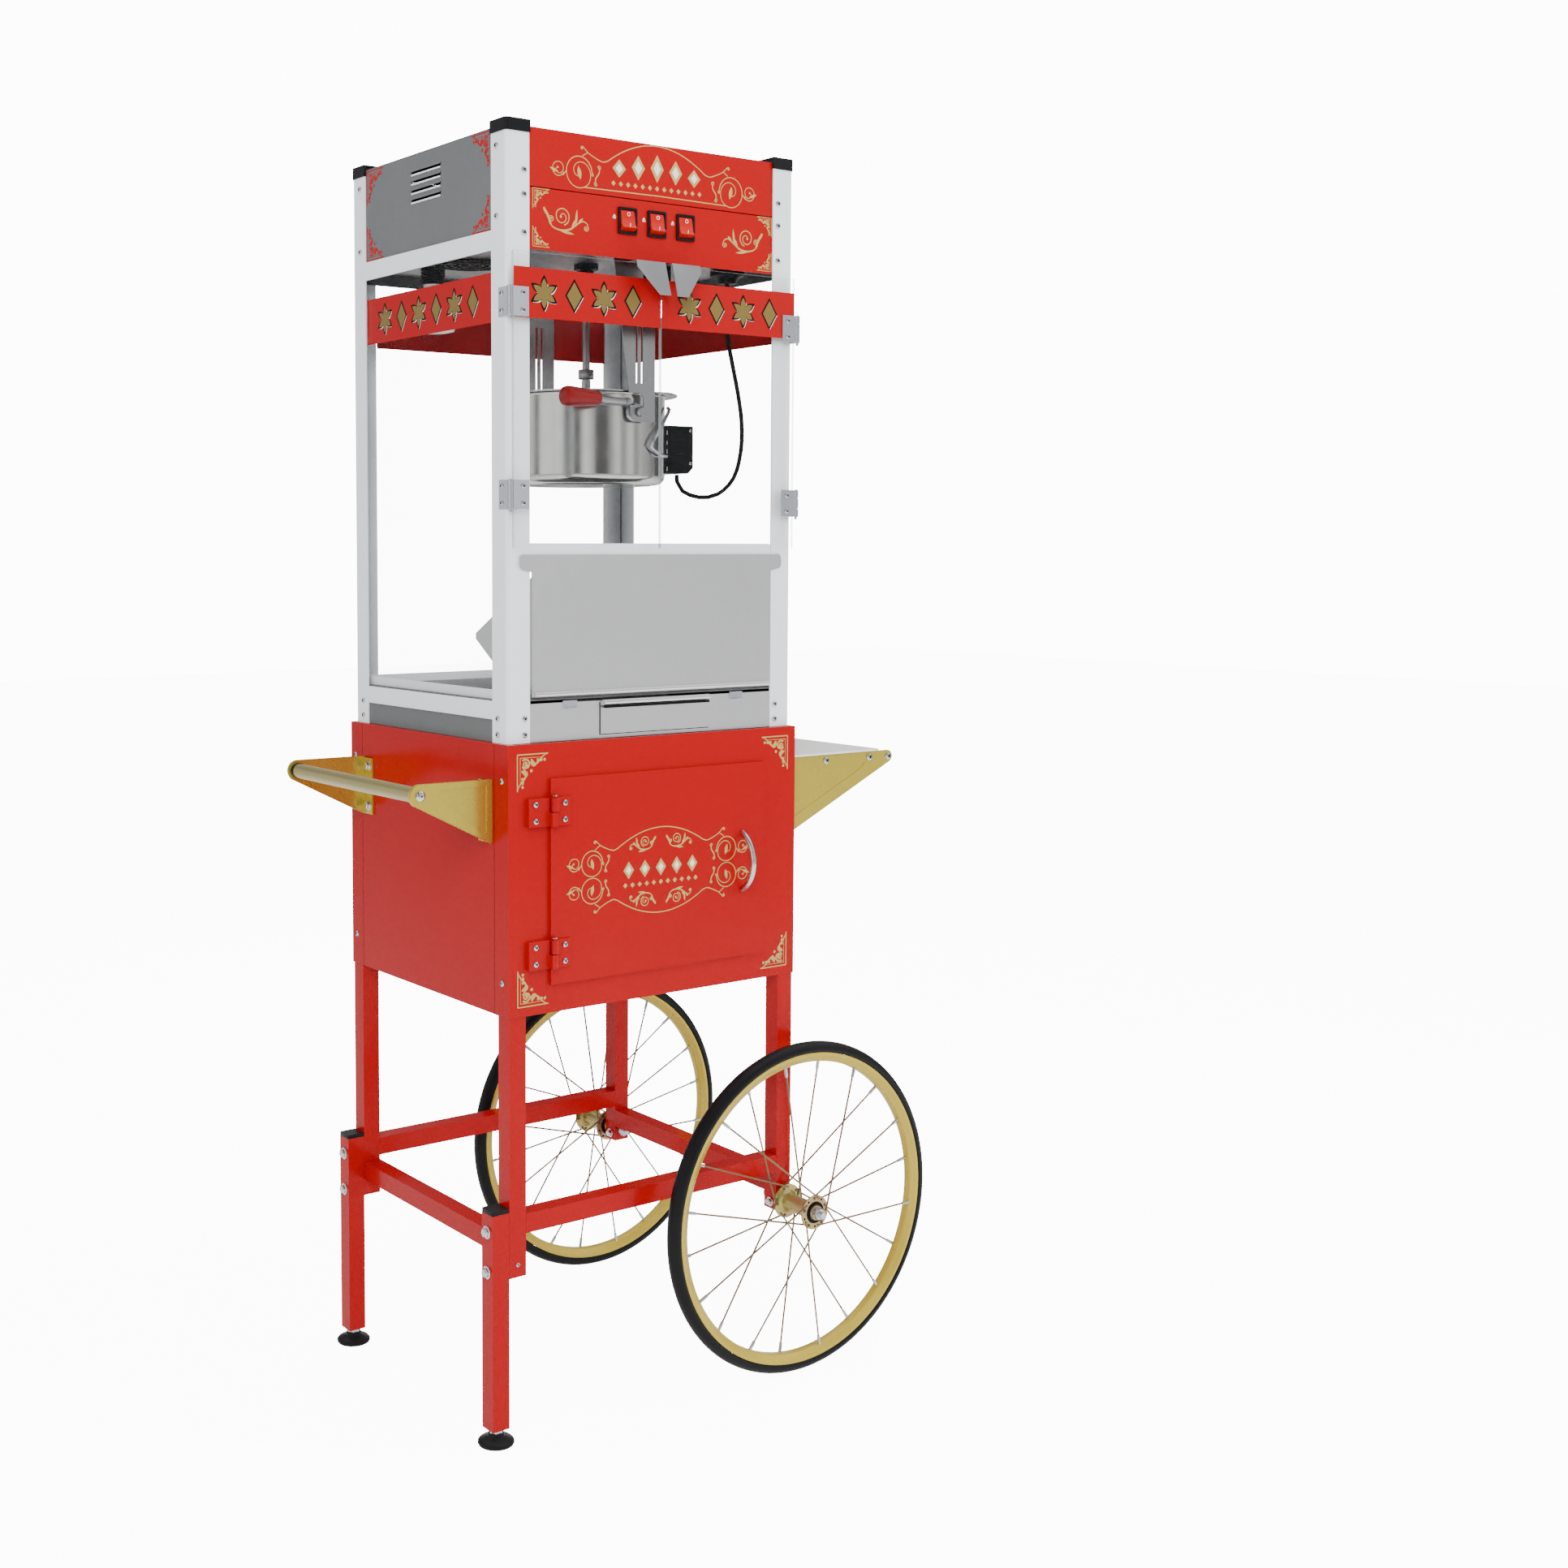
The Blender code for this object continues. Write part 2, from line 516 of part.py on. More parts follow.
def add_shelf():
    """Side shelf: a folded top on two long triangular brackets."""
    wall = BOX_W + GAP
    tip = (SHELF_TIP_X, SHELF_TOP_Z - SHELF_TIP_R)
    outline = [(wall, SHELF_LOW_Z)] + arc(tip, SHELF_TIP_R, -60, 90, 8) + [(wall, SHELF_TOP_Z)]
    upright = ((wall + 0.0001, wall + SHELF_BRACKET), SHELF_TAB, (SHELF_LOW_Z + 0.003, SHELF_TOP_Z - 0.005))
    level = ((wall + 0.004, SHELF_END_X - 0.002), SHELF_TAB, (SHELF_TOP_Z - SHELF_BRACKET, SHELF_TOP_Z - 0.0001))
    add_brackets("shelf_bracket", SHELF_Y, SHELF_BRACKET, outline, [upright, level])
    top = (wall + 0.0003, SHELF_END_X), (-SHELF_HALF, SHELF_HALF), (SHELF_TOP_Z + GAP, SHELF_TOP_Z + GAP + 0.003)
    add("shelf_top", block(*top), "white_sheet")


# ---------------------------------------------------------------- machine cabinet

def corner_outline(sx, sy):
    """L section of a corner post, with a rounded outer corner."""
    outer = [(CORNER_LEG, 0.0)] + arc((CORNER_R, CORNER_R), CORNER_R, 270, 180, 5) + [(0.0, CORNER_LEG)]
    inner = [(CORNER_WALL, CORNER_LEG), (CORNER_WALL, CORNER_WALL), (CORNER_LEG, CORNER_WALL)]
    return [(sx * (CASE_W - a), sy * (CASE_D - b)) for a, b in outer + inner]


def add_corner_posts():
    """Four corner extrusions that carry the panes, the base and the housing."""
    places = {"front_left": (-1, -1), "front_right": (1, -1), "back_left": (-1, 1), "back_right": (1, 1)}
    for place, signs in places.items():
        add("corner_post_" + place, plate("z", CASE_BOTTOM, CASE_TOP, corner_outline(*signs)), "silver_paint")


def add_base_pan():
    """Base tray: floor, three walls with outer rails, sifting deck and drawer runners."""
    front = -PAN_D
    outer = block((-PAN_W, PAN_W), (front, PAN_D), (CASE_BOTTOM, PAN_TOP))
    hollow = block((-PAN_W + SHEET, PAN_W - SHEET), (front - 0.01, PAN_D - SHEET),
                   (CASE_BOTTOM + SHEET, PAN_TOP - SHEET))
    joins = []
    for sign in (-1, 1):
        xs = sorted((sign * (PAN_W - 0.0005), sign * (PAN_W + RAIL_PROUD)))
        joins.append(block(xs, (-RAIL_Y, RAIL_Y), LOW_RAIL))
    joins.append(block((-RAIL_X, RAIL_X), (PAN_D - 0.0005, PAN_D + RAIL_PROUD), LOW_RAIL))
    cuts = [hollow]
    slots = 12
    for i in range(slots):
        x = -0.066 + 0.132 * i / (slots - 1)
        cuts.append(block((x - 0.002, x + 0.002), (-0.150, -0.060), (PAN_TOP - 0.003, PAN_TOP + 0.003)))
    tray = shaped(outer, joins, cuts)
    runners = [block(xs, (-0.185, -0.020), (CASE_BOTTOM + SHEET - 0.0004, 0.8976))
               for xs in ((-0.066, -0.060), (0.060, 0.066))]
    add("base_pan", shaped(tray, runners), "grey_sheet")


def add_front_steel():
    """Kick panel with its drawer opening, and the rolled rail behind the tilting panel."""
    edge = RAIL_X - GAP
    opening = rectangle(-0.0840, 0.0840, 0.8965, 0.9335)
    add("kick_panel", plate("y", -0.1950, -0.1938, rectangle(-edge, edge, CASE_BOTTOM, 0.937), [opening]), "steel")
    web = block((-edge, edge), (-0.1952, -0.1940), (1.105, 1.1335))
    roll = disc("x", (-0.1922, 1.1340), 0.003, -edge + 0.0005, edge - 0.0005, 12)
    add("front_rail", shaped(web, [roll]), "steel")


def add_panes():
    """Fixed side and back panes."""
    ys = (PANE_FRONT, PANE_Y - GLASS - GAP)
    for name, sign in (("left_glass", -1), ("right_glass", 1)):
        xs = sorted((sign * PANE_X, sign * (PANE_X - GLASS)))
        add(name, block(xs, ys, (PANE_BOTTOM, PANE_TOP)), "clear_pane")
    add("back_glass", block((-PANE_X, PANE_X), (PANE_Y - GLASS, PANE_Y), (PANE_BOTTOM, PANE_TOP)), "clear_pane")


def add_housing():
    """Top housing: ceiling, switch panel, roof with its fascia, and the vented wrap."""
    front = -PAN_D
    hole = arc((KETTLE.x, KETTLE.y), 0.0065, 0, 345, 23)
    add("ceiling_plate", plate("z", CEILING[0], CEILING[1],
                               rectangle(-PANE_X, PANE_X, PANE_FRONT, PANE_Y), [hole]), "steel")

    wide, tall = SWITCH_W / 2 + 0.0016, SWITCH_H / 2 + 0.0016
    windows = [rectangle(x - wide, x + wide, SWITCH_Z - tall, SWITCH_Z + tall) for x in SWITCH_XS.values()]
    add("switch_panel", plate("y", front, front + SHEET, rectangle(-PANE_X, PANE_X, *SWITCH_BAND), windows), "red_paint")

    fold = [(front, FASCIA_BOTTOM), (front + SHEET, FASCIA_BOTTOM), (front + SHEET, ROOF_TOP - SHEET),
            (PAN_D, ROOF_TOP - SHEET), (PAN_D, ROOF_TOP), (front, ROOF_TOP)]
    add("roof_cover", plate("x", -PAN_W, PAN_W, fold), "red_paint")

    start = PANE_FRONT
    wrap = [(-PAN_W, start), (-PAN_W + SHEET, start), (-PAN_W + SHEET, PAN_D - SHEET),
            (PAN_W - SHEET, PAN_D - SHEET), (PAN_W - SHEET, start), (PAN_W, start), (PAN_W, PAN_D), (-PAN_W, PAN_D)]
    shell = plate("z", HIGH_RAIL[0], ROOF_TOP - SHEET - GAP, wrap)
    joins = []
    for sign in (-1, 1):
        xs = sorted((sign * (PAN_W - 0.0005), sign * (PAN_W + RAIL_PROUD)))
        joins.append(block(xs, (-RAIL_Y, RAIL_Y), HIGH_RAIL))
    joins.append(block((-RAIL_X, RAIL_X), (PAN_D - 0.0005, PAN_D + RAIL_PROUD), HIGH_RAIL))
    cuts = []
    for i in range(4):
        z = 1.5855 + 0.012 * i
        cuts.append(block((-0.25, 0.25), (-0.0375, 0.0375), (z - 0.0025, z + 0.0025)))
        cuts.append(block((-0.0375, 0.0375), (0.18, 0.21), (z - 0.0025, z + 0.0025)))
    add("housing_wrap", shaped(shell, joins, cuts), "grey_sheet")


def add_gear_motor():
    """Gear case and motor that turn the drive rod, above the ceiling."""
    case = block((-0.045, 0.045), (-0.083, 0.007), (CEILING[1] + GAP, 1.5500))
    motor = disc("z", (0.012, -0.030), 0.033, 1.5490, 1.6150, 24)
    add("gear_motor", shaped(case, [motor]), "steel")


def add_glass_door(name, sign):
    """Glass door leaf with the pull that hooks over its top edge and flares out below."""
    pane = block(sorted((sign * GDOOR_OUT, sign * GDOOR_MID)), GDOOR_Y, GDOOR_Z)
    near, far = PULL_XS
    front, top = GDOOR_Y[0] - PULL_REACH_Y, GDOOR_Z[1] + SHEET - 0.0002
    outline = [(near, top), (far, top), (far, top - 0.009), (far - 0.028, PULL_LOW), (near, PULL_LOW)]
    face = plate("y", front - SHEET, front, [(sign * x, z) for x, z in outline])
    for corner in face.verts:
        corner.co.y -= (top - corner.co.z) * PULL_FLARE
    hook = block(sorted((sign * (near + 0.0001), sign * (far - 0.0001))), (front - 0.0004, GDOOR_Y[1] - 0.001),
                 (top - SHEET, top - 0.0001))
    add(name, shaped(pane, [face, hook]), "clear_pane", name)


def add_tilt_panel():
    """Steel front panel with ears, a curled bottom lip and two stop gussets."""
    low, high = TILT_Z
    ear_low, r = high - 0.019, 0.005
    right = [(TILT_X, low), (TILT_X, ear_low - 0.003)]
    right += arc((TILT_EAR_X - r, ear_low + r), r, -90, 0, 3) + arc((TILT_EAR_X - r, high - r), r, 0, 90, 3)
    left = [(-x, z) for x, z in reversed(right)]
    web = plate("y", TILT_Y[0], TILT_Y[1], right + left)
    curl = disc("x", (TILT_Y[0] - 0.0018, low + 0.0028), 0.0033, -TILT_X + 0.0035, TILT_X - 0.0035, 12)
    joins = [curl]
    side = [(TILT_Y[1] - 0.0006, 1.100), (TILT_Y[1] - 0.0006, 0.948), (-0.150, 0.948), (-0.055, 1.013), (-0.055, 1.0205)]
    for sign in (-1, 1):
        xs = sorted((sign * 0.1864, sign * 0.1876))
        joins.append(plate("x", xs[0], xs[1], side))
        tab = sorted((sign * 0.1868, sign * 0.1780))
        joins.append(block(tab, (-0.0700, -0.0580), (1.0125, 1.0137)))
    add("tilt_panel", shaped(web, joins), "steel", "tilt_panel")


def add_drawer():
    """Crumb drawer: a tray behind a front plate with a curled grip."""
    tray = block((-0.0825, 0.0825), (-0.1960, -0.010), (0.8980, 0.9320))
    front = block((-DRAWER_W, DRAWER_W), (-0.1966, -0.1954), DRAWER_Z)
    grip = disc("x", (-0.1995, 0.9345), 0.0038, -0.086, 0.086, 12)
    hollow = block((-0.0815, 0.0815), (-0.1950, -0.011), (0.8990, 0.9400))
    add("crumb_drawer", shaped(tray, [front, grip], [hollow]), "steel", "crumb_drawer")


def add_rocker(name, x):
    """Rocker of a mains switch: its two faces meet in a shallow ridge."""
    half = SWITCH_W / 2
    front = -PAN_D
    low, high = SWITCH_Z - SWITCH_H / 2, SWITCH_Z + SWITCH_H / 2
    ridge = SWITCH_Z - 0.004
    outline = [(front + 0.0010, high), (front - 0.0012, high), (front - 0.0042, ridge),
               (front - 0.0075, low + 0.0045), (front - 0.0020, low), (front + 0.0010, low),
               (-0.1840, SWITCH_Z - 0.004), (-0.1840, SWITCH_Z + 0.004)]
    add(name, plate("x", x - half, x + half, outline), "red_switch", name)


# ---------------------------------------------------------------- kettle

def hanger_outline():
    """Hanger plate: tapered, with a hooked seat that the kettle's pin drops into."""
    x, z = TRUNNION.x, TRUNNION.z
    top = CEILING[0] - GAP
    seat = [(x + HOOK_R, 1.3270)] + arc((x, z), HOOK_R, 0, -180, 10) + [(x - HOOK_R, 1.3172)]
    tongue = [(-0.0128, 1.3172), (-0.0120, 1.3050)] + arc((-0.0030, 1.3050), 0.0090, 205, 270, 3)
    return [(0.0272, 1.2960), (0.0272, top), (-0.0400, top), (-0.0145, 1.3330), (0.0040, 1.3330)] + seat + tongue


def add_hanger(name, sign):
    """Plate that hangs the kettle from the ceiling, at its front or back."""
    inner = KETTLE.y + sign * (HANGER_OUT - HANGER / 2)
    outer = KETTLE.y + sign * (HANGER_OUT + HANGER / 2)
    slots = [block((left, left + 0.003), sorted((inner - sign * 0.002, outer + sign * 0.002)), (1.3456, 1.4400))
             for left in (-0.0040, 0.0045)]
    web = plate("y", min(inner, outer), max(inner, outer), hanger_outline())
    ys = sorted((outer - sign * 0.0002, outer - sign * 0.024))
    top = CEILING[0] - GAP
    flange = block((-0.0370, 0.0262), ys, (top - HANGER, top - 0.0001))
    add(name, shaped(web, [flange], slots), "steel")


def add_kettle():
    """Pot with its trunnions and lid bar, lids, handle, terminal box and agitator."""
    spot = (KETTLE.x, KETTLE.y)
    wall, corner = 0.0012, 0.012
    outer = [(0.0, POT_BOTTOM)] + arc((POT_R - corner, POT_BOTTOM + corner), corner, -90, 0, 4) + [(POT_R, POT_TOP)]
    inner = [(POT_R - wall, POT_TOP)]
    inner += arc((POT_R - corner, POT_BOTTOM + 0.0025 + corner - wall), corner - wall, 0, -90, 4) + [(0.0, POT_BOTTOM + 0.0025)]
    pot = turned("z", spot, outer + inner, 32)
    joins = []
    for sign in (-1, 1):
        wall_y, collar_y, pin_y = (KETTLE.y + sign * out for out in (POT_R - 0.0006, HANGER_OUT - 0.0014, 0.1250))
        profile = [(0.0, wall_y), (0.010, wall_y), (0.010, collar_y), (PIVOT_PIN_R, collar_y),
                   (PIVOT_PIN_R, pin_y), (0.0, pin_y)]
        joins.append(turned("y", (TRUNNION.x, TRUNNION.z), profile, 20))
    add("kettle_pot", shaped(pot, joins), "steel", "kettle", smooth=True)

    bar = [(-LID_BAR, KETTLE.y - LID_FLAT), (LID_BAR, KETTLE.y - LID_FLAT)]
    bar += [(x, -y + 2 * KETTLE.y) for x, y in reversed(bar)]
    boss = arc(spot, LID_BOSS, 0, 345, 23)
    hole = arc(spot, SHAFT_R + 0.0012, 0, 345, 23)
    across = plate("z", LID_Z[0], LID_Z[0] + 0.0022, bar)
    ring = plate("z", LID_Z[0] + 0.0002, LID_Z[0] + 0.0024, boss)
    bore = plate("z", LID_Z[0] - 0.01, LID_Z[0] + 0.01, hole)
    add("lid_bar", shaped(across, [ring], [bore]), "steel", "kettle")

    flat_turn = math.degrees(math.asin(LID_FLAT / LID_R))
    notch_turn = math.degrees(math.acos(LID_EDGE / LID_NOTCH))
    half = [(LID_EDGE, -LID_FLAT)] + arc((0.0, 0.0), LID_R, -flat_turn, flat_turn, 24) + [(LID_EDGE, LID_FLAT)]
    half += arc((0.0, 0.0), LID_NOTCH, notch_turn, -notch_turn, 6)
    for name, sign in (("kettle_lid_left", -1), ("kettle_lid_right", 1)):
        outline = [(KETTLE.x + sign * a, KETTLE.y + b) for a, b in half]
        add(name, plate("z", LID_Z[0], LID_Z[1], outline), "steel", name)

    y = -0.1500
    rod = [(-0.0086, y, 1.3165), (-0.030, y, 1.3195), (-0.0585, y, 1.3235), (-0.0590, y, 1.3236),
           (-0.064, y, 1.3240), (-0.106, y, 1.3250), (-0.113, y, 1.3251), (-0.1155, y, 1.3252)]
    sizes = [0.0047, 0.0047, 0.0047, 0.0080, 0.0092, 0.0122, 0.0108, 0.0070]
    add("kettle_handle", swept(rod, sizes, 16), "red_grip", "kettle", smooth=True)

    box = plate("y", -0.0700, -0.0100, [(0.1085, 1.2345), (0.1520, 1.2345), (0.1600, 1.2420),
                                        (0.1600, 1.3000), (0.1085, 1.3000)])
    add("terminal_box", box, "black_plastic", "kettle")

    shaft = disc("z", spot, SHAFT_R, 1.2200, SHAFT_TOP, 20)
    blades = []
    for turn in (0.5, 0.5 + math.pi / 2):
        reach = 0.088
        dx, dy = reach * math.cos(turn), reach * math.sin(turn)
        blades.append(swept([(spot[0] - dx, spot[1] - dy, 1.2235), (spot[0] + dx, spot[1] + dy, 1.2235)], 0.0025, 8))
    add("agitator", shaped(shaft, blades), "steel", "agitator", smooth=True)


def add_drive():
    """Drive rod with the coupling collar at its lower end."""
    profile = [(0.0, COLLAR_BOTTOM), (0.010, COLLAR_BOTTOM), (0.010, 1.3720), (0.005, 1.3720),
               (0.005, CEILING[1]), (0.0, CEILING[1])]
    add("drive_rod", turned("z", (KETTLE.x, KETTLE.y), profile, 24), "steel", "drive_rod", smooth=True)


def add_ceiling_fittings():
    """Heat lamp, cord socket and the cord down to the kettle."""
    ceiling = CEILING[0] - GAP
    lamp = [(0.0, ceiling), (0.017, ceiling), (0.017, 1.4900), (0.0135, 1.4870), (0.0135, 1.4740), (0.0200, 1.4580),
            (0.0300, 1.4420), (0.0315, 1.4320), (0.0285, 1.4250), (0.0, 1.4240)]
    add("heat_lamp", turned("z", (-0.155, 0.105), lamp, 24), "black_plastic", smooth=True)
    start = CORD_POINTS[0]
    socket = [(0.0, ceiling), (0.0235, ceiling), (0.0235, 1.5020), (0.0220, 1.5000), (0.0150, 1.4990),
              (0.0135, start[2] + GAP), (0.0, start[2] + GAP)]
    add("kettle_socket", turned("z", (start[0], start[1]), socket, 20), "black_plastic", smooth=True)
    add_cord()


def smooth_route(points, step):
    """Points about a step apart on a smooth curve through the given points."""
    knots = [Vector(p) for p in points]
    knots = [2 * knots[0] - knots[1]] + knots + [2 * knots[-1] - knots[-2]]
    route = []
    for a, b, c, d in zip(knots, knots[1:], knots[2:], knots[3:]):
        pieces = max(1, round((c - b).length / step))
        for i in range(pieces):
            t = i / pieces
            route.append(b + 0.5 * t * ((c - a) + t * ((2 * a - 5 * b + 4 * c - d) + t * (3 * (b - c) + d - a))))
    return route + [knots[-2]]


def add_cord():
    """Flexible cord from the ceiling socket down to the kettle's terminal box."""
    curve = bpy.data.curves.new("kettle_cord", "CURVE")
    curve.dimensions = "3D"
    curve.bevel_depth = CORD_R
    curve.bevel_resolution = 2
    curve.use_fill_caps = True
    route = smooth_route(CORD_POINTS, CORD_STEP)
    line = curve.splines.new("POLY")
    line.points.add(len(route) - 1)
    for point, spot in zip(line.points, route):
        point.co = (*spot, 1.0)
    curve.materials.append(finish("black_plastic"))
    item = bpy.data.objects.new("kettle_cord", curve)
    item.parent = EMPTIES["cart"]
    bpy.context.scene.collection.objects.link(item)


clear_scene()
EMPTIES = add_empties()
add_side_frame("side_frame_left", -POST_X, with_axles=False)
add_side_frame("side_frame_right", POST_X, with_axles=True)
for place, spot_y in LEG_PLACES.items():
    add_stretcher("stretcher_" + place, spot_y)
    add_leg(place + "_leg", spot_y)
    add_foot(place + "_foot", spot_y)
add_cabinet_shell()
add_cabinet_door()
for hinge_name, hinge_bottom in HINGE_BOTTOMS.items():
    add_cabinet_hinge(hinge_name, hinge_bottom)
add_door_pull()
add_wheel("front", -1)
add_wheel("back", 1)
add_handle()
add_shelf()
add_corner_posts()
add_base_pan()
add_front_steel()
add_panes()
add_housing()
add_gear_motor()
add_glass_door("glass_door_left", -1)
add_glass_door("glass_door_right", 1)
add_tilt_panel()
add_drawer()
for rocker_name, rocker_x in SWITCH_XS.items():
    add_rocker(rocker_name, rocker_x)
add_hanger("front_hanger", -1)
add_hanger("back_hanger", 1)
add_kettle()
add_drive()
add_ceiling_fittings()
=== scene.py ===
"""Finished surfaces and trim of a popcorn machine on its two-wheeled cart.

The fixed model gives every size and joint.  Each class below dresses one sub-assembly: it
gives the model's own nodes their finish, replaces the plain round ones with fine meshes and
adds the small pieces (fasteners, caps, hinges, ornaments).  Places are written from the
middle of the cart in metres: x to the right, y to the back, z up from the floor.
"""

import logging
import math
from dataclasses import dataclass, field
from enum import Enum
from typing import Callable, Iterable, Sequence

import bmesh
import bpy
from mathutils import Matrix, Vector
from mathutils.geometry import tessellate_polygon


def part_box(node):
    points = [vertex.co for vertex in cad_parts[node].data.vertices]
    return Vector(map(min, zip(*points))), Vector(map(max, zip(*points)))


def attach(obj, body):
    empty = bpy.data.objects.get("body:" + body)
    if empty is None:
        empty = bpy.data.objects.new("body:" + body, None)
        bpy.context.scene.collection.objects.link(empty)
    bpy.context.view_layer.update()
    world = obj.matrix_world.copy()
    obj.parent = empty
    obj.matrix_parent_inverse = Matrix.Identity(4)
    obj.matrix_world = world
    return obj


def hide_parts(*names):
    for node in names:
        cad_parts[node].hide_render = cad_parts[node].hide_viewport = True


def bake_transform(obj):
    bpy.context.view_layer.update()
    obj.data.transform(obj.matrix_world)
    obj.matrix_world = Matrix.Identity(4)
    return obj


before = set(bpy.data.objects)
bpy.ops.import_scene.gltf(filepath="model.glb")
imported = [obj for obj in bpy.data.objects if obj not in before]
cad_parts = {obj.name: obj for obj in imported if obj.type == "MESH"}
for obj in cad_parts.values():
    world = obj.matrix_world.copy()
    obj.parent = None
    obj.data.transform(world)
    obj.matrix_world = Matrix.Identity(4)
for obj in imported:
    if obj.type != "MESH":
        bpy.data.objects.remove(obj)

logging.basicConfig(level=logging.INFO, format="%(message)s")
LOG = logging.getLogger("popcorn_cart")

Point2 = tuple[float, float]
Point3 = tuple[float, float, float]

SHELL_LOW, SHELL_HIGH = (Vector(corner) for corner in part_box("cabinet_shell"))
CART_MIDDLE = Vector(((SHELL_LOW.x + SHELL_HIGH.x) / 2, (SHELL_LOW.y + SHELL_HIGH.y) / 2, 0.0))
GAP = 0.0003
DECAL = 0.00018
FRAME_LINE = 0.0014
FLOOR_GLOW, BACKDROP_GLOW = 11.0, 13.0
BEAD_PITCH, BEAD_LEVEL, BEAD_TALL = 0.0115, -0.0160, 0.0035
LOW_RAIL, HIGH_RAIL = (0.9172, 0.9404), (1.4960, 1.5207)


def cart_box(node: str) -> tuple[Vector, Vector]:
    """Box of a model node, measured from the middle of the cart.

    Args:
        node: Name of the node.

    Returns:
        Its lowest and highest corner.
    """
    low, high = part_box(node)
    return Vector(low) - CART_MIDDLE, Vector(high) - CART_MIDDLE


# ---------------------------------------------------------------- finishes

class Grain(Enum):
    """Fine surface structure of a finish."""

    ORANGE_PEEL = "orange_peel"
    BRUSHED_X = "brushed_x"
    BRUSHED_Z = "brushed_z"
    SPUN = "spun"
    PEBBLE = "pebble"
    PLATED = "plated"
    SMOOTH = "smooth"


GRAIN_STRETCH = {
    Grain.ORANGE_PEEL: (1.0, 1.0, 1.0),
    Grain.BRUSHED_X: (0.02, 1.0, 1.0),
    Grain.BRUSHED_Z: (1.0, 1.0, 0.02),
    Grain.SPUN: (0.35, 0.35, 1.0),
    Grain.PEBBLE: (1.0, 1.0, 1.0),
    Grain.PLATED: (1.0, 1.0, 1.0),
    Grain.SMOOTH: (1.0, 1.0, 1.0),
}


@dataclass(frozen=True)
class Recipe:
    """How one finish looks.

    Attributes:
        colour: Main colour, linear.
        second: Colour that it drifts towards in soft patches.
        roughness: Middle roughness.
        metallic: Metallic value.
        grain: Fine structure.
        grain_scale: Cycles of the structure in a metre.
        bump: Depth of the structure, in metres.
        drift: How far the colour drifts, 0 to 1.
        smudge: How far the roughness varies.
        wear: Strength of the pale wear on edges.
        dust: Strength of the dust on upward faces.
        coat: Weight of a clear coat.
        glow: Strength of a glow in the main colour.
        slot: Material slot of the record that the finish belongs to.
    """

    colour: Point3
    second: Point3
    roughness: float
    metallic: float
    grain: Grain
    grain_scale: float
    bump: float
    drift: float
    smudge: float
    wear: float
    dust: float
    coat: float
    glow: float
    slot: str


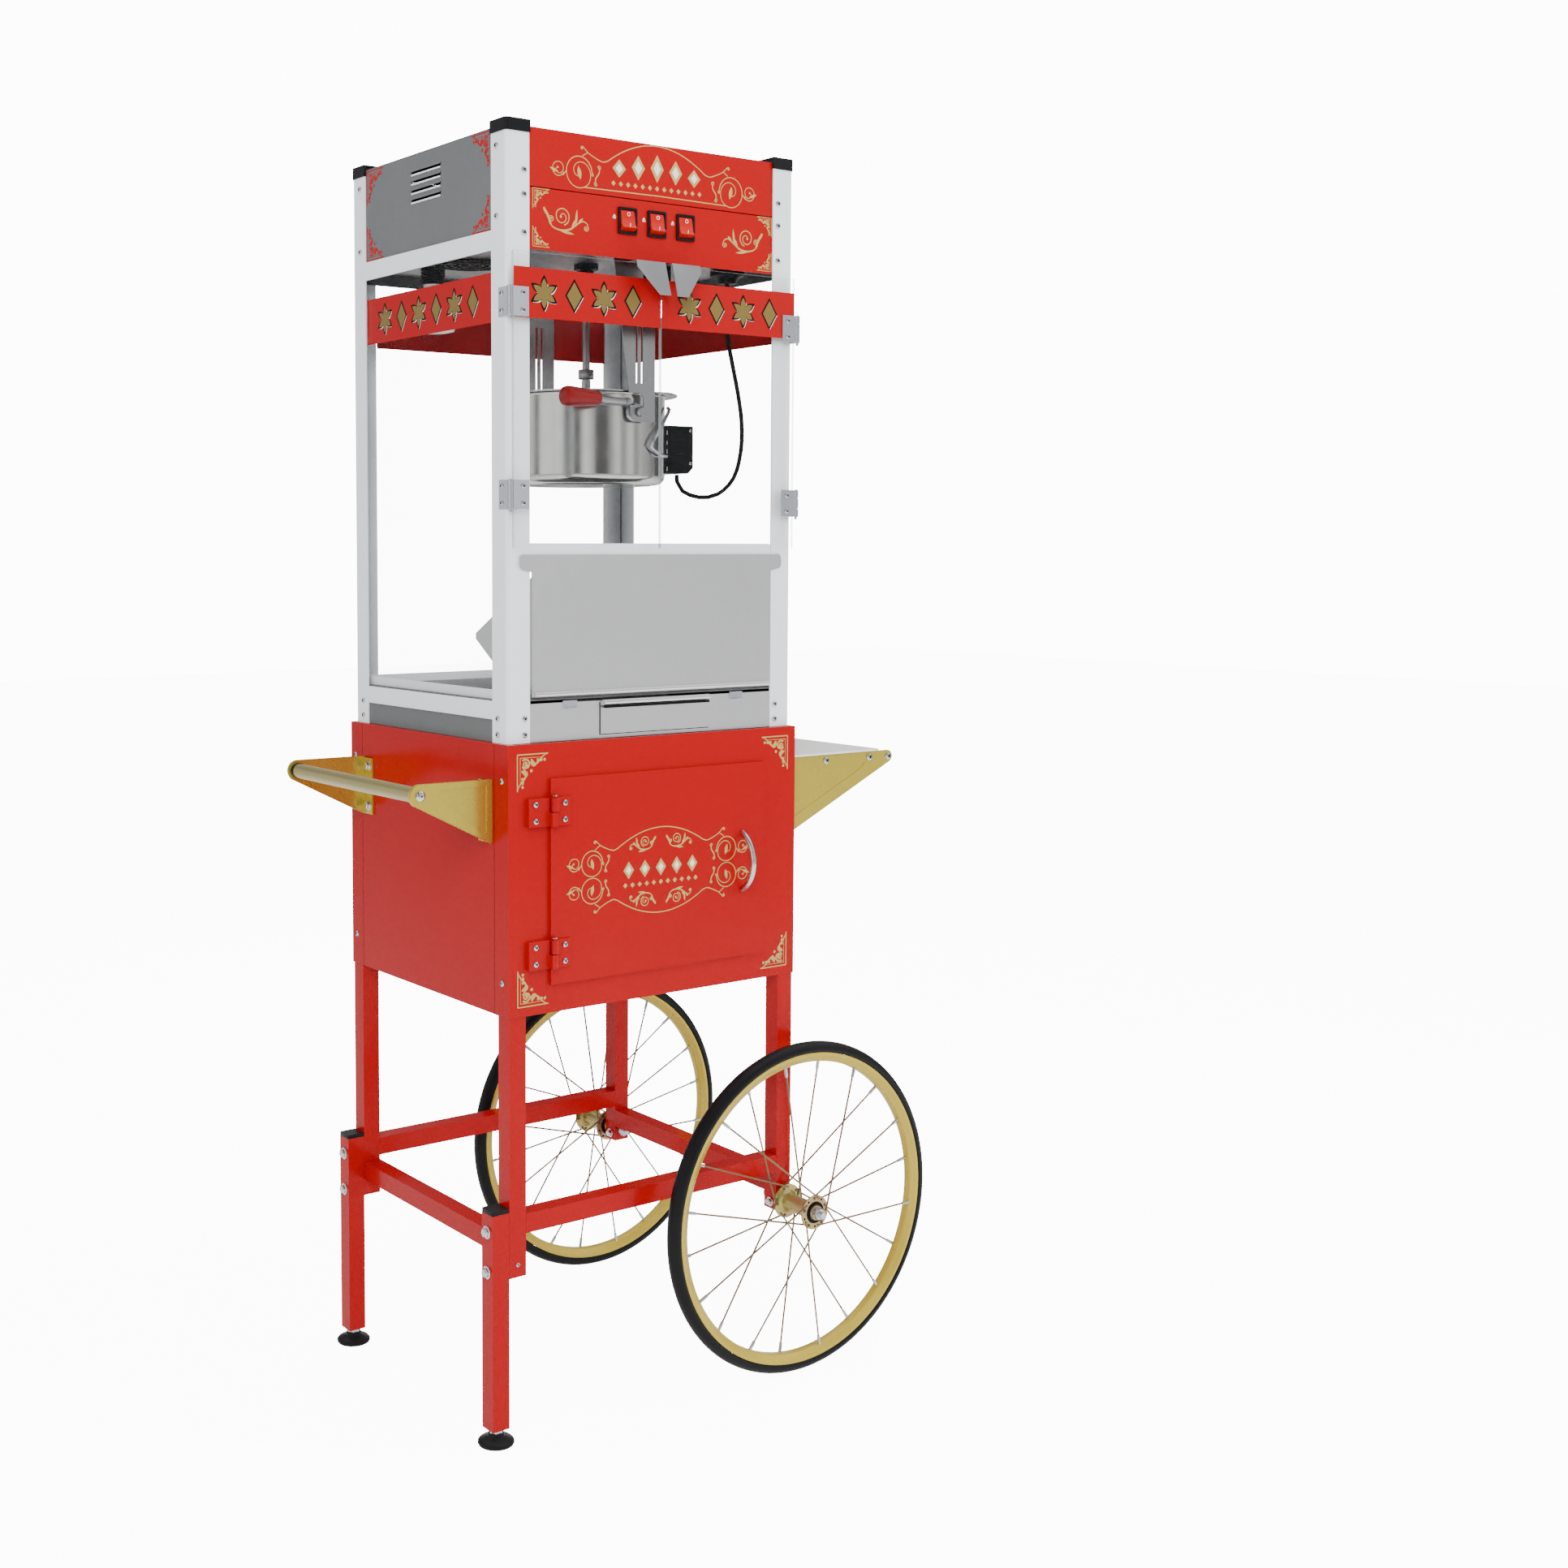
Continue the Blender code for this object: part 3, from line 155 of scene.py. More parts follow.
class Finish(Enum):
    """Every finish on the object."""

    RED_PAINT = Recipe((0.37, 0.0003, 0.002), (0.33, 0.0003, 0.002), 0.22, 0.0, Grain.ORANGE_PEEL, 900, 0.00004,
                       0.35, 0.05, 0.06, 0.0, 0.04, 0.0, "red_paint")
    SILVER = Recipe((0.88, 0.91, 0.94), (0.82, 0.85, 0.89), 0.42, 0.12, Grain.BRUSHED_Z, 2600, 0.00002,
                    0.4, 0.08, 0.15, 0.04, 0.1, 0.0, "silver_paint")
    GREY_SHEET = Recipe((0.135, 0.142, 0.145), (0.115, 0.121, 0.125), 0.45, 0.15, Grain.ORANGE_PEEL, 1100, 0.00003,
                        0.3, 0.06, 0.2, 0.06, 0.1, 0.0, "grey_sheet")
    STEEL = Recipe((0.40, 0.405, 0.415), (0.34, 0.345, 0.355), 0.33, 1.0, Grain.BRUSHED_X, 2400, 0.000015,
                   0.35, 0.10, 0.1, 0.04, 0.0, 0.0, "steel")
    SATIN_SHEET = Recipe((0.84, 0.845, 0.855), (0.76, 0.765, 0.775), 0.33, 1.0, Grain.BRUSHED_X, 2400, 0.000015,
                         0.35, 0.10, 0.1, 0.04, 0.0, 0.0, "steel")
    KETTLE_STEEL = Recipe((0.60, 0.595, 0.58), (0.50, 0.49, 0.475), 0.16, 1.0, Grain.SPUN, 1800, 0.00001,
                          0.45, 0.10, 0.05, 0.03, 0.0, 0.0, "steel")
    CHROME = Recipe((0.66, 0.67, 0.69), (0.58, 0.59, 0.61), 0.09, 1.0, Grain.SMOOTH, 400, 0.00001,
                    0.3, 0.05, 0.0, 0.03, 0.0, 0.0, "chrome")
    BRIGHT_ZINC = Recipe((0.62, 0.64, 0.68), (0.54, 0.57, 0.63), 0.24, 0.95, Grain.PLATED, 500, 0.00001,
                         0.5, 0.08, 0.1, 0.05, 0.0, 0.0, "chrome")
    YELLOW_ZINC = Recipe((0.64, 0.50, 0.075), (0.54, 0.42, 0.06), 0.26, 0.75, Grain.PLATED, 260, 0.00001,
                         0.6, 0.08, 0.10, 0.0, 0.05, 0.0, "gold_zinc")
    RAINBOW_ZINC = Recipe((0.46, 0.40, 0.13), (0.44, 0.22, 0.16), 0.30, 0.70, Grain.PLATED, 120, 0.00001,
                          1.0, 0.08, 0.1, 0.04, 0.0, 0.0, "gold_zinc")
    SPOKE_ZINC = Recipe((0.20, 0.165, 0.075), (0.20, 0.10, 0.075), 0.34, 0.6, Grain.PLATED, 120, 0.00001,
                        1.0, 0.08, 0.1, 0.04, 0.0, 0.0, "gold_zinc")
    RIM_PAINT = Recipe((0.52, 0.39, 0.045), (0.46, 0.34, 0.04), 0.28, 0.25, Grain.ORANGE_PEEL, 900, 0.00003,
                       0.4, 0.06, 0.2, 0.05, 0.3, 0.0, "gold_zinc")
    OLIVE_ALUMINIUM = Recipe((0.44, 0.38, 0.17), (0.38, 0.33, 0.15), 0.34, 0.8, Grain.PLATED, 900, 0.00001,
                             0.4, 0.08, 0.2, 0.04, 0.1, 0.0, "gold_zinc")
    BLACK_PLASTIC = Recipe((0.006, 0.006, 0.007), (0.010, 0.010, 0.011), 0.36, 0.0, Grain.PEBBLE, 1500, 0.00005,
                           0.4, 0.08, 0.05, 0.02, 0.0, 0.0, "black_plastic")
    RUBBER = Recipe((0.005, 0.005, 0.006), (0.009, 0.009, 0.010), 0.40, 0.0, Grain.PEBBLE, 900, 0.00008,
                    0.5, 0.10, 0.0, 0.02, 0.0, 0.0, "tyre_rubber")
    RED_GRIP = Recipe((0.20, 0.004, 0.005), (0.15, 0.003, 0.004), 0.30, 0.0, Grain.ORANGE_PEEL, 700, 0.00004,
                      0.4, 0.06, 0.1, 0.04, 0.3, 0.0, "red_grip")
    RED_SWITCH = Recipe((0.42, 0.003, 0.002), (0.34, 0.002, 0.001), 0.16, 0.0, Grain.SMOOTH, 700, 0.00001,
                        0.3, 0.04, 0.0, 0.0, 0.2, 0.25, "red_switch")
    # Near-white of the shelf top: painted highlight, the glare on the shelf put into its colour.
    WHITE_SHEET = Recipe((0.80, 0.81, 0.79), (0.74, 0.75, 0.73), 0.32, 0.1, Grain.ORANGE_PEEL, 900, 0.00003,
                         0.3, 0.06, 0.1, 0.05, 0.2, 0.0, "white_sheet")
    BANNER_RED = Recipe((0.35, 0.0003, 0.002), (0.32, 0.0003, 0.002), 0.34, 0.0, Grain.ORANGE_PEEL, 1200, 0.00002,
                        0.25, 0.04, 0.0, 0.0, 0.05, 0.0, "red_paint")
    GOLD_PRINT = Recipe((0.46, 0.33, 0.10), (0.42, 0.30, 0.09), 0.40, 0.0, Grain.ORANGE_PEEL, 1200, 0.00002,
                        0.3, 0.05, 0.0, 0.02, 0.2, 0.0, "gold_zinc")
    OLIVE_PRINT = Recipe((0.17, 0.12, 0.032), (0.15, 0.105, 0.028), 0.4, 0.1, Grain.ORANGE_PEEL, 1200, 0.00002,
                         0.3, 0.05, 0.0, 0.02, 0.1, 0.0, "gold_zinc")
    WHITE_PRINT = Recipe((0.84, 0.84, 0.82), (0.80, 0.80, 0.78), 0.4, 0.0, Grain.ORANGE_PEEL, 1200, 0.00002,
                         0.2, 0.05, 0.0, 0.02, 0.1, 0.0, "white_sheet")
    # Near-black: painted shade in gaps, recesses and holes, and also the dark outline of printed ornaments.
    SHADOW = Recipe((0.002, 0.002, 0.002), (0.004, 0.004, 0.004), 0.6, 0.0, Grain.PEBBLE, 1200, 0.00003,
                    0.3, 0.05, 0.0, 0.02, 0.0, 0.0, "black_plastic")
    LAMP_GLASS = Recipe((0.80, 0.80, 0.78), (0.72, 0.72, 0.70), 0.20, 0.2, Grain.SMOOTH, 600, 0.00002,
                        0.3, 0.05, 0.0, 0.03, 0.3, 0.25, "steel")
    GLASS_EDGE = Recipe((0.36, 0.41, 0.40), (0.30, 0.36, 0.35), 0.12, 0.0, Grain.SMOOTH, 200, 0.00001,
                        0.3, 0.02, 0.0, 0.0, 0.0, 0.0, "clear_pane")
    CLEAR_GLASS = Recipe((0.03, 0.04, 0.04), (0.05, 0.06, 0.06), 0.03, 0.0, Grain.SMOOTH, 12, 0.00001,
                         0.3, 0.02, 0.0, 0.0, 0.0, 0.0, "clear_pane")


class Graph:
    """Short way to add and link nodes in one node tree."""

    def __init__(self, tree: bpy.types.NodeTree) -> None:
        """Keep the tree that nodes go into.

        Args:
            tree: Tree of a material or of a node group.
        """
        self.tree = tree

    def node(self, kind: str, inputs: dict | None = None, **settings: object) -> bpy.types.Node:
        """Add one node.

        Args:
            kind: Type name of the node.
            inputs: Values or output sockets for its inputs, by name or number.
            settings: Properties of the node.

        Returns:
            The new node.
        """
        made = self.tree.nodes.new(kind)
        for key, value in settings.items():
            setattr(made, key, value)
        for key, value in (inputs or {}).items():
            if isinstance(value, bpy.types.NodeSocket):
                self.tree.links.new(value, made.inputs[key])
            else:
                made.inputs[key].default_value = value
        return made

    def math(self, operation: str, a: object, b: object = 0.0, clamp: bool = False) -> bpy.types.NodeSocket:
        """Add a math node.

        Args:
            operation: Name of the operation.
            a: First value or socket.
            b: Second value or socket.
            clamp: Keep the result from 0 to 1.

        Returns:
            The result.
        """
        return self.node("ShaderNodeMath", {0: a, 1: b}, operation=operation, use_clamp=clamp).outputs[0]

    def mix_colour(self, amount: object, a: object, b: object) -> bpy.types.NodeSocket:
        """Blend two colours.

        Args:
            amount: Share of the second colour.
            a: First colour.
            b: Second colour.

        Returns:
            The blended colour.
        """
        return self.node("ShaderNodeMix", {0: amount, 6: a, 7: b}, data_type="RGBA").outputs[2]


class Effects:
    """Shared shader node groups: soft patches, fine grain, edge wear and dust."""

    def __init__(self) -> None:
        """Build the groups."""
        self.patches = self._group("soft_patches", ["Scale"], self._patches)
        self.grain = self._group("fine_grain", ["Scale", "Stretch"], self._grain)
        self.wear = self._group("edge_wear", ["Radius"], self._wear)
        self.dust = self._group("settled_dust", ["Scale"], self._dust)

    def _group(self, name: str, inputs: Sequence[str], fill: Callable[[Graph, object], object]) -> object:
        """Make one group with a single Value output.

        Args:
            name: Name of the group.
            inputs: Names of its inputs; Stretch is a vector.
            fill: Draws the inside and returns the output socket.

        Returns:
            The node group.
        """
        tree = bpy.data.node_groups.new(name, "ShaderNodeTree")
        for label in inputs:
            kind = "NodeSocketVector" if label == "Stretch" else "NodeSocketFloat"
            tree.interface.new_socket(name=label, in_out="INPUT", socket_type=kind)
        tree.interface.new_socket(name="Value", in_out="OUTPUT", socket_type="NodeSocketFloat")
        graph = Graph(tree)
        entry = graph.node("NodeGroupInput")
        graph.node("NodeGroupOutput", {0: fill(graph, entry)})
        return tree

    @staticmethod
    def _patches(graph: Graph, entry: bpy.types.Node) -> bpy.types.NodeSocket:
        """Soft cloudy mask of two sizes.

        Args:
            graph: Inside of the group.
            entry: Its inputs.

        Returns:
            Mask from 0 to 1.
        """
        place = graph.node("ShaderNodeTexCoord").outputs["Object"]
        wide = graph.node("ShaderNodeTexNoise", {"Vector": place, "Scale": entry.outputs[0], "Detail": 4.0})
        finer = graph.math("MULTIPLY", entry.outputs[0], 5.3)
        small = graph.node("ShaderNodeTexNoise", {"Vector": place, "Scale": finer, "Detail": 3.0})
        parts = (graph.math("MULTIPLY", wide.outputs[0], 0.7), graph.math("MULTIPLY", small.outputs[0], 0.3))
        both = graph.math("ADD", *parts)
        return graph.node("ShaderNodeMapRange", {0: both, 1: 0.36, 2: 0.64}, clamp=True).outputs[0]

    @staticmethod
    def _grain(graph: Graph, entry: bpy.types.Node) -> bpy.types.NodeSocket:
        """Fine height field, drawn out along one way by Stretch.

        Args:
            graph: Inside of the group.
            entry: Its inputs.

        Returns:
            Height from 0 to 1.
        """
        place = graph.node("ShaderNodeTexCoord").outputs["Object"]
        drawn = graph.node("ShaderNodeVectorMath", {0: place, 1: entry.outputs[1]}, operation="MULTIPLY").outputs[0]
        noise = graph.node("ShaderNodeTexNoise", {"Vector": drawn, "Scale": entry.outputs[0], "Detail": 3.0})
        return noise.outputs[0]

    @staticmethod
    def _wear(graph: Graph, entry: bpy.types.Node) -> bpy.types.NodeSocket:
        """Mask on sharp edges, broken up by noise.

        Args:
            graph: Inside of the group.
            entry: Its inputs.

        Returns:
            Mask from 0 to 1.
        """
        rounded = graph.node("ShaderNodeBevel", {0: entry.outputs[0]}, samples=3).outputs[0]
        normal = graph.node("ShaderNodeNewGeometry").outputs["Normal"]
        turn = graph.node("ShaderNodeVectorMath", {0: rounded, 1: normal}, operation="DOT_PRODUCT").outputs["Value"]
        edge = graph.node("ShaderNodeMapRange", {0: turn, 1: 0.97, 2: 0.80}, clamp=True).outputs[0]
        place = graph.node("ShaderNodeTexCoord").outputs["Object"]
        noise = graph.node("ShaderNodeTexNoise", {"Vector": place, "Scale": 140.0, "Detail": 3.0}).outputs[0]
        broken = graph.node("ShaderNodeMapRange", {0: noise, 1: 0.45, 2: 0.62}, clamp=True).outputs[0]
        return graph.math("MULTIPLY", edge, broken, clamp=True)

    @staticmethod
    def _dust(graph: Graph, entry: bpy.types.Node) -> bpy.types.NodeSocket:
        """Mask on faces that look up.

        Args:
            graph: Inside of the group.
            entry: Its inputs.

        Returns:
            Mask from 0 to 1.
        """
        normal = graph.node("ShaderNodeNewGeometry").outputs["Normal"]
        upward = graph.node("ShaderNodeSeparateXYZ", {0: normal}).outputs[2]
        flat = graph.node("ShaderNodeMapRange", {0: upward, 1: 0.5, 2: 1.0}, clamp=True).outputs[0]
        place = graph.node("ShaderNodeTexCoord").outputs["Object"]
        noise = graph.node("ShaderNodeTexNoise", {"Vector": place, "Scale": entry.outputs[0], "Detail": 5.0})
        return graph.math("MULTIPLY", flat, noise.outputs[0], clamp=True)


class Paintshop:
    """Makes each finish once and hands it out."""

    def __init__(self) -> None:
        """Build the shared effects and start with no materials."""
        self.effects = Effects()
        self.made: dict[Finish, bpy.types.Material] = {}

    def material(self, finish: Finish) -> bpy.types.Material:
        """Material of a finish.

        Args:
            finish: The finish wanted.

        Returns:
            Its material, built on first use.
        """
        if finish not in self.made:
            self.made[finish] = self._build(finish)
            LOG.info("finish %s", finish.name.lower())
        return self.made[finish]

    def _effect(self, graph: Graph, tree: object, inputs: dict) -> bpy.types.NodeSocket:
        """Add one shared group to a material.

        Args:
            graph: The material's tree.
            tree: The node group.
            inputs: Values for its inputs.

        Returns:
            The group's output.
        """
        node = graph.node("ShaderNodeGroup", node_tree=tree)
        for key, value in inputs.items():
            node.inputs[key].default_value = value
        return node.outputs[0]

    def _build(self, finish: Finish) -> bpy.types.Material:
        """Draw the node tree of one finish.

        Args:
            finish: The finish to build.

        Returns:
            The new material.
        """
        recipe = finish.value
        material = bpy.data.materials.new(finish.name.lower())
        material.use_nodes = True
        graph = Graph(material.node_tree)
        shader = material.node_tree.nodes["Principled BSDF"]
        patches = self._effect(graph, self.effects.patches, {"Scale": 7.0})
        drift = graph.math("MULTIPLY", patches, recipe.drift)
        colour = graph.mix_colour(drift, (*recipe.colour, 1.0), (*recipe.second, 1.0))
        smudged = graph.math("MULTIPLY", patches, recipe.smudge)
        rough = graph.math("ADD", recipe.roughness - recipe.smudge / 2, smudged)
        if recipe.dust > 0:
            dust = self._effect(graph, self.effects.dust, {"Scale": 45.0})
            laid = graph.math("MULTIPLY", dust, recipe.dust)
            colour = graph.mix_colour(laid, colour, (0.55, 0.53, 0.50, 1.0))
            rough = graph.math("ADD", rough, graph.math("MULTIPLY", laid, 0.5))
        if recipe.wear > 0:
            worn = graph.math("MULTIPLY", self._effect(graph, self.effects.wear, {"Radius": 0.0008}), recipe.wear)
            pale = tuple(min(1.0, 0.45 + 0.5 * part) for part in recipe.colour)
            colour = graph.mix_colour(worn, colour, (*pale, 1.0))
        grain = {"Scale": recipe.grain_scale, "Stretch": GRAIN_STRETCH[recipe.grain]}
        height = self._effect(graph, self.effects.grain, grain)
        bump = graph.node("ShaderNodeBump", {"Height": height, "Strength": 0.5, "Distance": recipe.bump}).outputs[0]
        links = material.node_tree.links
        links.new(colour, shader.inputs["Base Color"])
        links.new(rough, shader.inputs["Roughness"])
        links.new(bump, shader.inputs["Normal"])
        shader.inputs["Metallic"].default_value = recipe.metallic
        shader.inputs["Coat Weight"].default_value = recipe.coat
        shader.inputs["Coat Roughness"].default_value = 0.08
        shader.inputs["Specular IOR Level"].default_value = 0.5 if recipe.slot == "clear_pane" else 0.14
        if recipe.glow > 0:
            shader.inputs["Emission Color"].default_value = (*recipe.colour, 1.0)
            shader.inputs["Emission Strength"].default_value = recipe.glow
        if recipe.grain in (Grain.BRUSHED_X, Grain.BRUSHED_Z, Grain.SPUN):
            shader.inputs["Anisotropic"].default_value = 0.5
        if finish is Finish.GLASS_EDGE:
            shader.inputs["Alpha"].default_value = 0.55
        if finish is Finish.CLEAR_GLASS:
            facing = graph.node("ShaderNodeLayerWeight", {0: 0.30}).outputs["Fresnel"]
            film = graph.math("ADD", 0.012, graph.math("MULTIPLY", patches, 0.008))
            front = graph.math("SUBTRACT", 1.0, graph.node("ShaderNodeNewGeometry").outputs["Backfacing"])
            seen = graph.math("ADD", film, graph.math("MULTIPLY", facing, 0.9), clamp=True)
            links.new(graph.math("MULTIPLY", seen, front), shader.inputs["Alpha"])
        return material


PAINTSHOP = Paintshop()


# ---------------------------------------------------------------- mesh drawing

def lift(axis: str, point: Point2, level: float) -> Point3:
    """Place a point of a flat drawing in space.

    Args:
        axis: Axis that the drawing is square to.
        point: Its two coordinates.
        level: Its place along the axis.

    Returns:
        The point in space.
    """
    a, b = point
    return {"x": (level, a, b), "y": (a, level, b), "z": (a, b, level)}[axis]


def rectangle(left: float, right: float, low: float, high: float) -> list[Point2]:
    """Corners of a rectangle.

    Args:
        left: Lowest first coordinate.
        right: Highest first coordinate.
        low: Lowest second coordinate.
        high: Highest second coordinate.

    Returns:
        Its four corners.
    """
    return [(left, low), (right, low), (right, high), (left, high)]


def arc(centre: Point2, radius: float, start: float, end: float, steps: int) -> list[Point2]:
    """Points of an arc.

    Args:
        centre: Middle of the circle.
        radius: Its radius.
        start: First angle in degrees.
        end: Last angle in degrees.
        steps: Number of steps.

    Returns:
        The points from start to end.
    """
    angles = [math.radians(start + (end - start) * i / steps) for i in range(steps + 1)]
    return [(centre[0] + radius * math.cos(t), centre[1] + radius * math.sin(t)) for t in angles]


def rounded(left: float, right: float, low: float, high: float, radius: float) -> list[Point2]:
    """Outline of a rectangle with round corners.

    Args:
        left: Lowest first coordinate.
        right: Highest first coordinate.
        low: Lowest second coordinate.
        high: Highest second coordinate.
        radius: Corner radius.

    Returns:
        The outline.
    """
    corners = [(right - radius, low + radius, -90), (right - radius, high - radius, 0),
               (left + radius, high - radius, 90), (left + radius, low + radius, 180)]
    return [p for x, y, turn in corners for p in arc((x, y), radius, turn, turn + 90, 4)]


@dataclass
class Draft:
    """A piece being drawn, in cart coordinates, with a finish for each of its shapes.

    Attributes:
        finishes: The finishes used so far.
        mesh: The mesh.
        ink: Number of the finish that the next shape gets.
    """

    finishes: list[Finish] = field(default_factory=list)
    mesh: bmesh.types.BMesh = field(default_factory=bmesh.new)
    ink: int = 0

    def use(self, finish: Finish) -> "Draft":
        """Choose the finish of the next shapes.

        Args:
            finish: The finish.

        Returns:
            This draft.
        """
        if finish not in self.finishes:
            self.finishes.append(finish)
        self.ink = self.finishes.index(finish)
        return self

    def _close(self, faces: Iterable[bmesh.types.BMFace], solid: bool = True) -> None:
        """Give new faces their finish and turn a solid's faces outward.

        Args:
            faces: The new faces.
            solid: Whether they close a solid.
        """
        made = list(faces)
        for face in made:
            face.material_index = self.ink
        if solid:
            bmesh.ops.recalc_face_normals(self.mesh, faces=made)

    def plate(self, axis: str, start: float, end: float, outline: Sequence[Point2],
              holes: Sequence[Sequence[Point2]] = ()) -> "Draft":
        """Add an extruded outline.

        Args:
            axis: Axis that the outline is square to.
            start: First level.
            end: Last level.
            outline: Outer loop.
            holes: Inner loops.

        Returns:
            This draft.
        """
        loops = [list(outline)] + [list(hole) for hole in holes]
        flat = [p for loop in loops for p in loop]
        triangles = tessellate_polygon([[Vector((p[0], p[1], 0.0)) for p in loop] for loop in loops])
        layers = [[self.mesh.verts.new(lift(axis, p, level)) for p in flat] for level in (start, end)]
        faces = [self.mesh.faces.new([layer[i] for i in t]) for layer in layers for t in triangles]
        first = 0
        for loop in loops:
            for i in range(len(loop)):
                a, b = first + i, first + (i + 1) % len(loop)
                faces.append(self.mesh.faces.new([layers[0][a], layers[0][b], layers[1][b], layers[1][a]]))
            first += len(loop)
        self._close(faces)
        return self

    def block(self, xs: Point2, ys: Point2, zs: Point2) -> "Draft":
        """Add a box.

        Args:
            xs: Its two x levels.
            ys: Its two y levels.
            zs: Its two z levels.

        Returns:
            This draft.
        """
        return self.plate("z", zs[0], zs[1], rectangle(min(xs), max(xs), min(ys), max(ys)))

    def turned(self, axis: str, centre: Point2, profile: Sequence[Point2], steps: int = 48) -> "Draft":
        """Add a solid of revolution.

        Args:
            axis: Axis it turns about.
            centre: Where the axis crosses the drawing.
            profile: Closed run of (radius, level) points.
            steps: Steps round the axis.

        Returns:
            This draft.
        """
        rings = []
        for radius, level in profile:
            count = 1 if radius < 1e-7 else steps
            turns = [math.tau * i / steps for i in range(count)]
            spots = [(centre[0] + radius * math.cos(t), centre[1] + radius * math.sin(t)) for t in turns]
            rings.append([self.mesh.verts.new(lift(axis, spot, level)) for spot in spots])
        faces = []
        for here, there in zip(rings, rings[1:] + rings[:1]):
            if len(here) == 1 and len(there) == 1:
                continue
            for i in range(steps):
                j = (i + 1) % steps
                ring = [here[i % len(here)], here[j % len(here)], there[j % len(there)], there[i % len(there)]]
                faces.append(self.mesh.faces.new(list(dict.fromkeys(ring))))
        self._close(faces)
        return self

    def _ring(self, middle: Vector, size: float, across: Vector, other: Vector, steps: int) -> list:
        """Vertices round a circle.

        Args:
            middle: Its middle.
            size: Its radius.
            across: First direction in its plane.
            other: Second direction in its plane.
            steps: Number of vertices.

        Returns:
            The new vertices.
        """
        turns = [math.tau * k / steps for k in range(steps)]
        return [self.mesh.verts.new(middle + size * (across * math.cos(t) + other * math.sin(t))) for t in turns]

    def _skin(self, rings: Sequence[list]) -> "Draft":
        """Join rings of equal count with faces and close both ends.

        Args:
            rings: The rings, in order.

        Returns:
            This draft.
        """
        faces = [self.mesh.faces.new(rings[0]), self.mesh.faces.new(rings[-1])]
        for here, there in zip(rings, rings[1:]):
            for k in range(len(here)):
                n = (k + 1) % len(here)
                faces.append(self.mesh.faces.new([here[k], here[n], there[n], there[k]]))
        self._close(faces)
        return self

    def tube(self, points: Sequence[Point3], radius: float | Sequence[float], sides: int = 12) -> "Draft":
        """Add a round rod along points.

        Args:
            points: Its centreline.
            radius: One radius, or one for each point.
            sides: Sides of its section.

        Returns:
            This draft.
        """
        path = [Vector(p) for p in points]
        sizes = list(radius) if isinstance(radius, (list, tuple)) else [radius] * len(path)
        across = None
        rings = []
        for i, (spot, size) in enumerate(zip(path, sizes)):
            along = (path[min(i + 1, len(path) - 1)] - path[max(i - 1, 0)]).normalized()
            across = along.orthogonal().normalized() if across is None else across
            across = (across - along * across.dot(along)).normalized()
            other = along.cross(across)
            rings.append(self._ring(spot, size, across, other, sides))
        return self._skin(rings)

    def facing(self, centre: Point3, normal: Point3, rings: Sequence[Point2], steps: int) -> "Draft":
        """Add a turned head that stands on a surface.

        Args:
            centre: Where it stands.
            normal: The way it stands out.
            rings: (radius, height) from its foot to its top.
            steps: Steps round it; 6 makes a hexagon.

        Returns:
            This draft.
        """
        out = Vector(normal).normalized()
        across = out.orthogonal().normalized()
        other = out.cross(across)
        loops = []
        for size, height in rings:
            loops.append(self._ring(Vector(centre) + out * height, size, across, other, steps))
        return self._skin(loops)

    def screw(self, centre: Point3, normal: Point3, radius: float = 0.0035) -> "Draft":
        """Add a domed screw head whose cross recess is painted as a flat near-black cross of shade.

        Args:
            centre: Where it stands.
            normal: The way it faces.
            radius: Its head radius.

        Returns:
            This draft.
        """
        out = Vector(normal).normalized()
        height = radius * 0.55
        rings = [(radius, 0.0), (radius, height * 0.35), (radius * 0.85, height * 0.75), (radius * 0.5, height),
                 (radius * 0.2, height * 1.04)]
        steel = self.ink
        self.facing(centre, normal, rings, 20)
        # The cross recess is not cut: two flat near-black bars on the head are painted shade.
        self.use(Finish.SHADOW)
        across = out.orthogonal().normalized()
        for side in (across, out.cross(across)):
            flank = out.cross(side)
            middle = Vector(centre) + out * height * 1.06
            reach, half = radius * 0.56, radius * 0.15
            spots = [side * a * reach + flank * b * half for a, b in ((-1, -1), (1, -1), (1, 1), (-1, 1))]
            face = self.mesh.faces.new([self.mesh.verts.new(middle + spot) for spot in spots])
            self._close([face], solid=False)
        self.ink = steel
        return self

    def hex_bolt(self, centre: Point3, normal: Point3, radius: float = 0.0062) -> "Draft":
        """Add a hexagon head on its washer.

        Args:
            centre: Where it stands.
            normal: The way it faces.
            radius: Radius over the corners.

        Returns:
            This draft.
        """
        self.facing(centre, normal, [(radius * 1.35, 0.0), (radius * 1.35, 0.001), (radius * 1.28, 0.0013)], 28)
        self.facing(centre, normal, [(radius, 0.001), (radius, 0.0045), (radius * 0.88, 0.0055)], 6)
        return self

    def place(self, name: str, body: str, nodes: Sequence[str] = (), bevel: float = 0.0,
              angle: float = 38.0) -> bpy.types.Object:
        """Put the piece into the scene.

        Args:
            name: Name of the piece.
            body: Body that it moves with.
            nodes: Model nodes that it stands for.
            bevel: Width of a small round on sharp edges, or 0.
            angle: Sharpest turn in degrees that is still shaded smooth.

        Returns:
            The new object.
        """
        bmesh.ops.translate(self.mesh, verts=self.mesh.verts, vec=CART_MIDDLE)
        data = bpy.data.meshes.new(name)
        self.mesh.to_mesh(data)
        self.mesh.free()
        data.shade_smooth()
        data.set_sharp_from_angle(angle=math.radians(angle))
        for finish in self.finishes:
            data.materials.append(PAINTSHOP.material(finish))
        piece = bpy.data.objects.new(name, data)
        bpy.context.scene.collection.objects.link(piece)
        if bevel > 0:
            soften(piece, bevel)
        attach(piece, body)
        if nodes:
            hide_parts(*nodes)
        LOG.info("piece %-26s on %-18s %6d faces", name, body, len(data.polygons))
        return piece


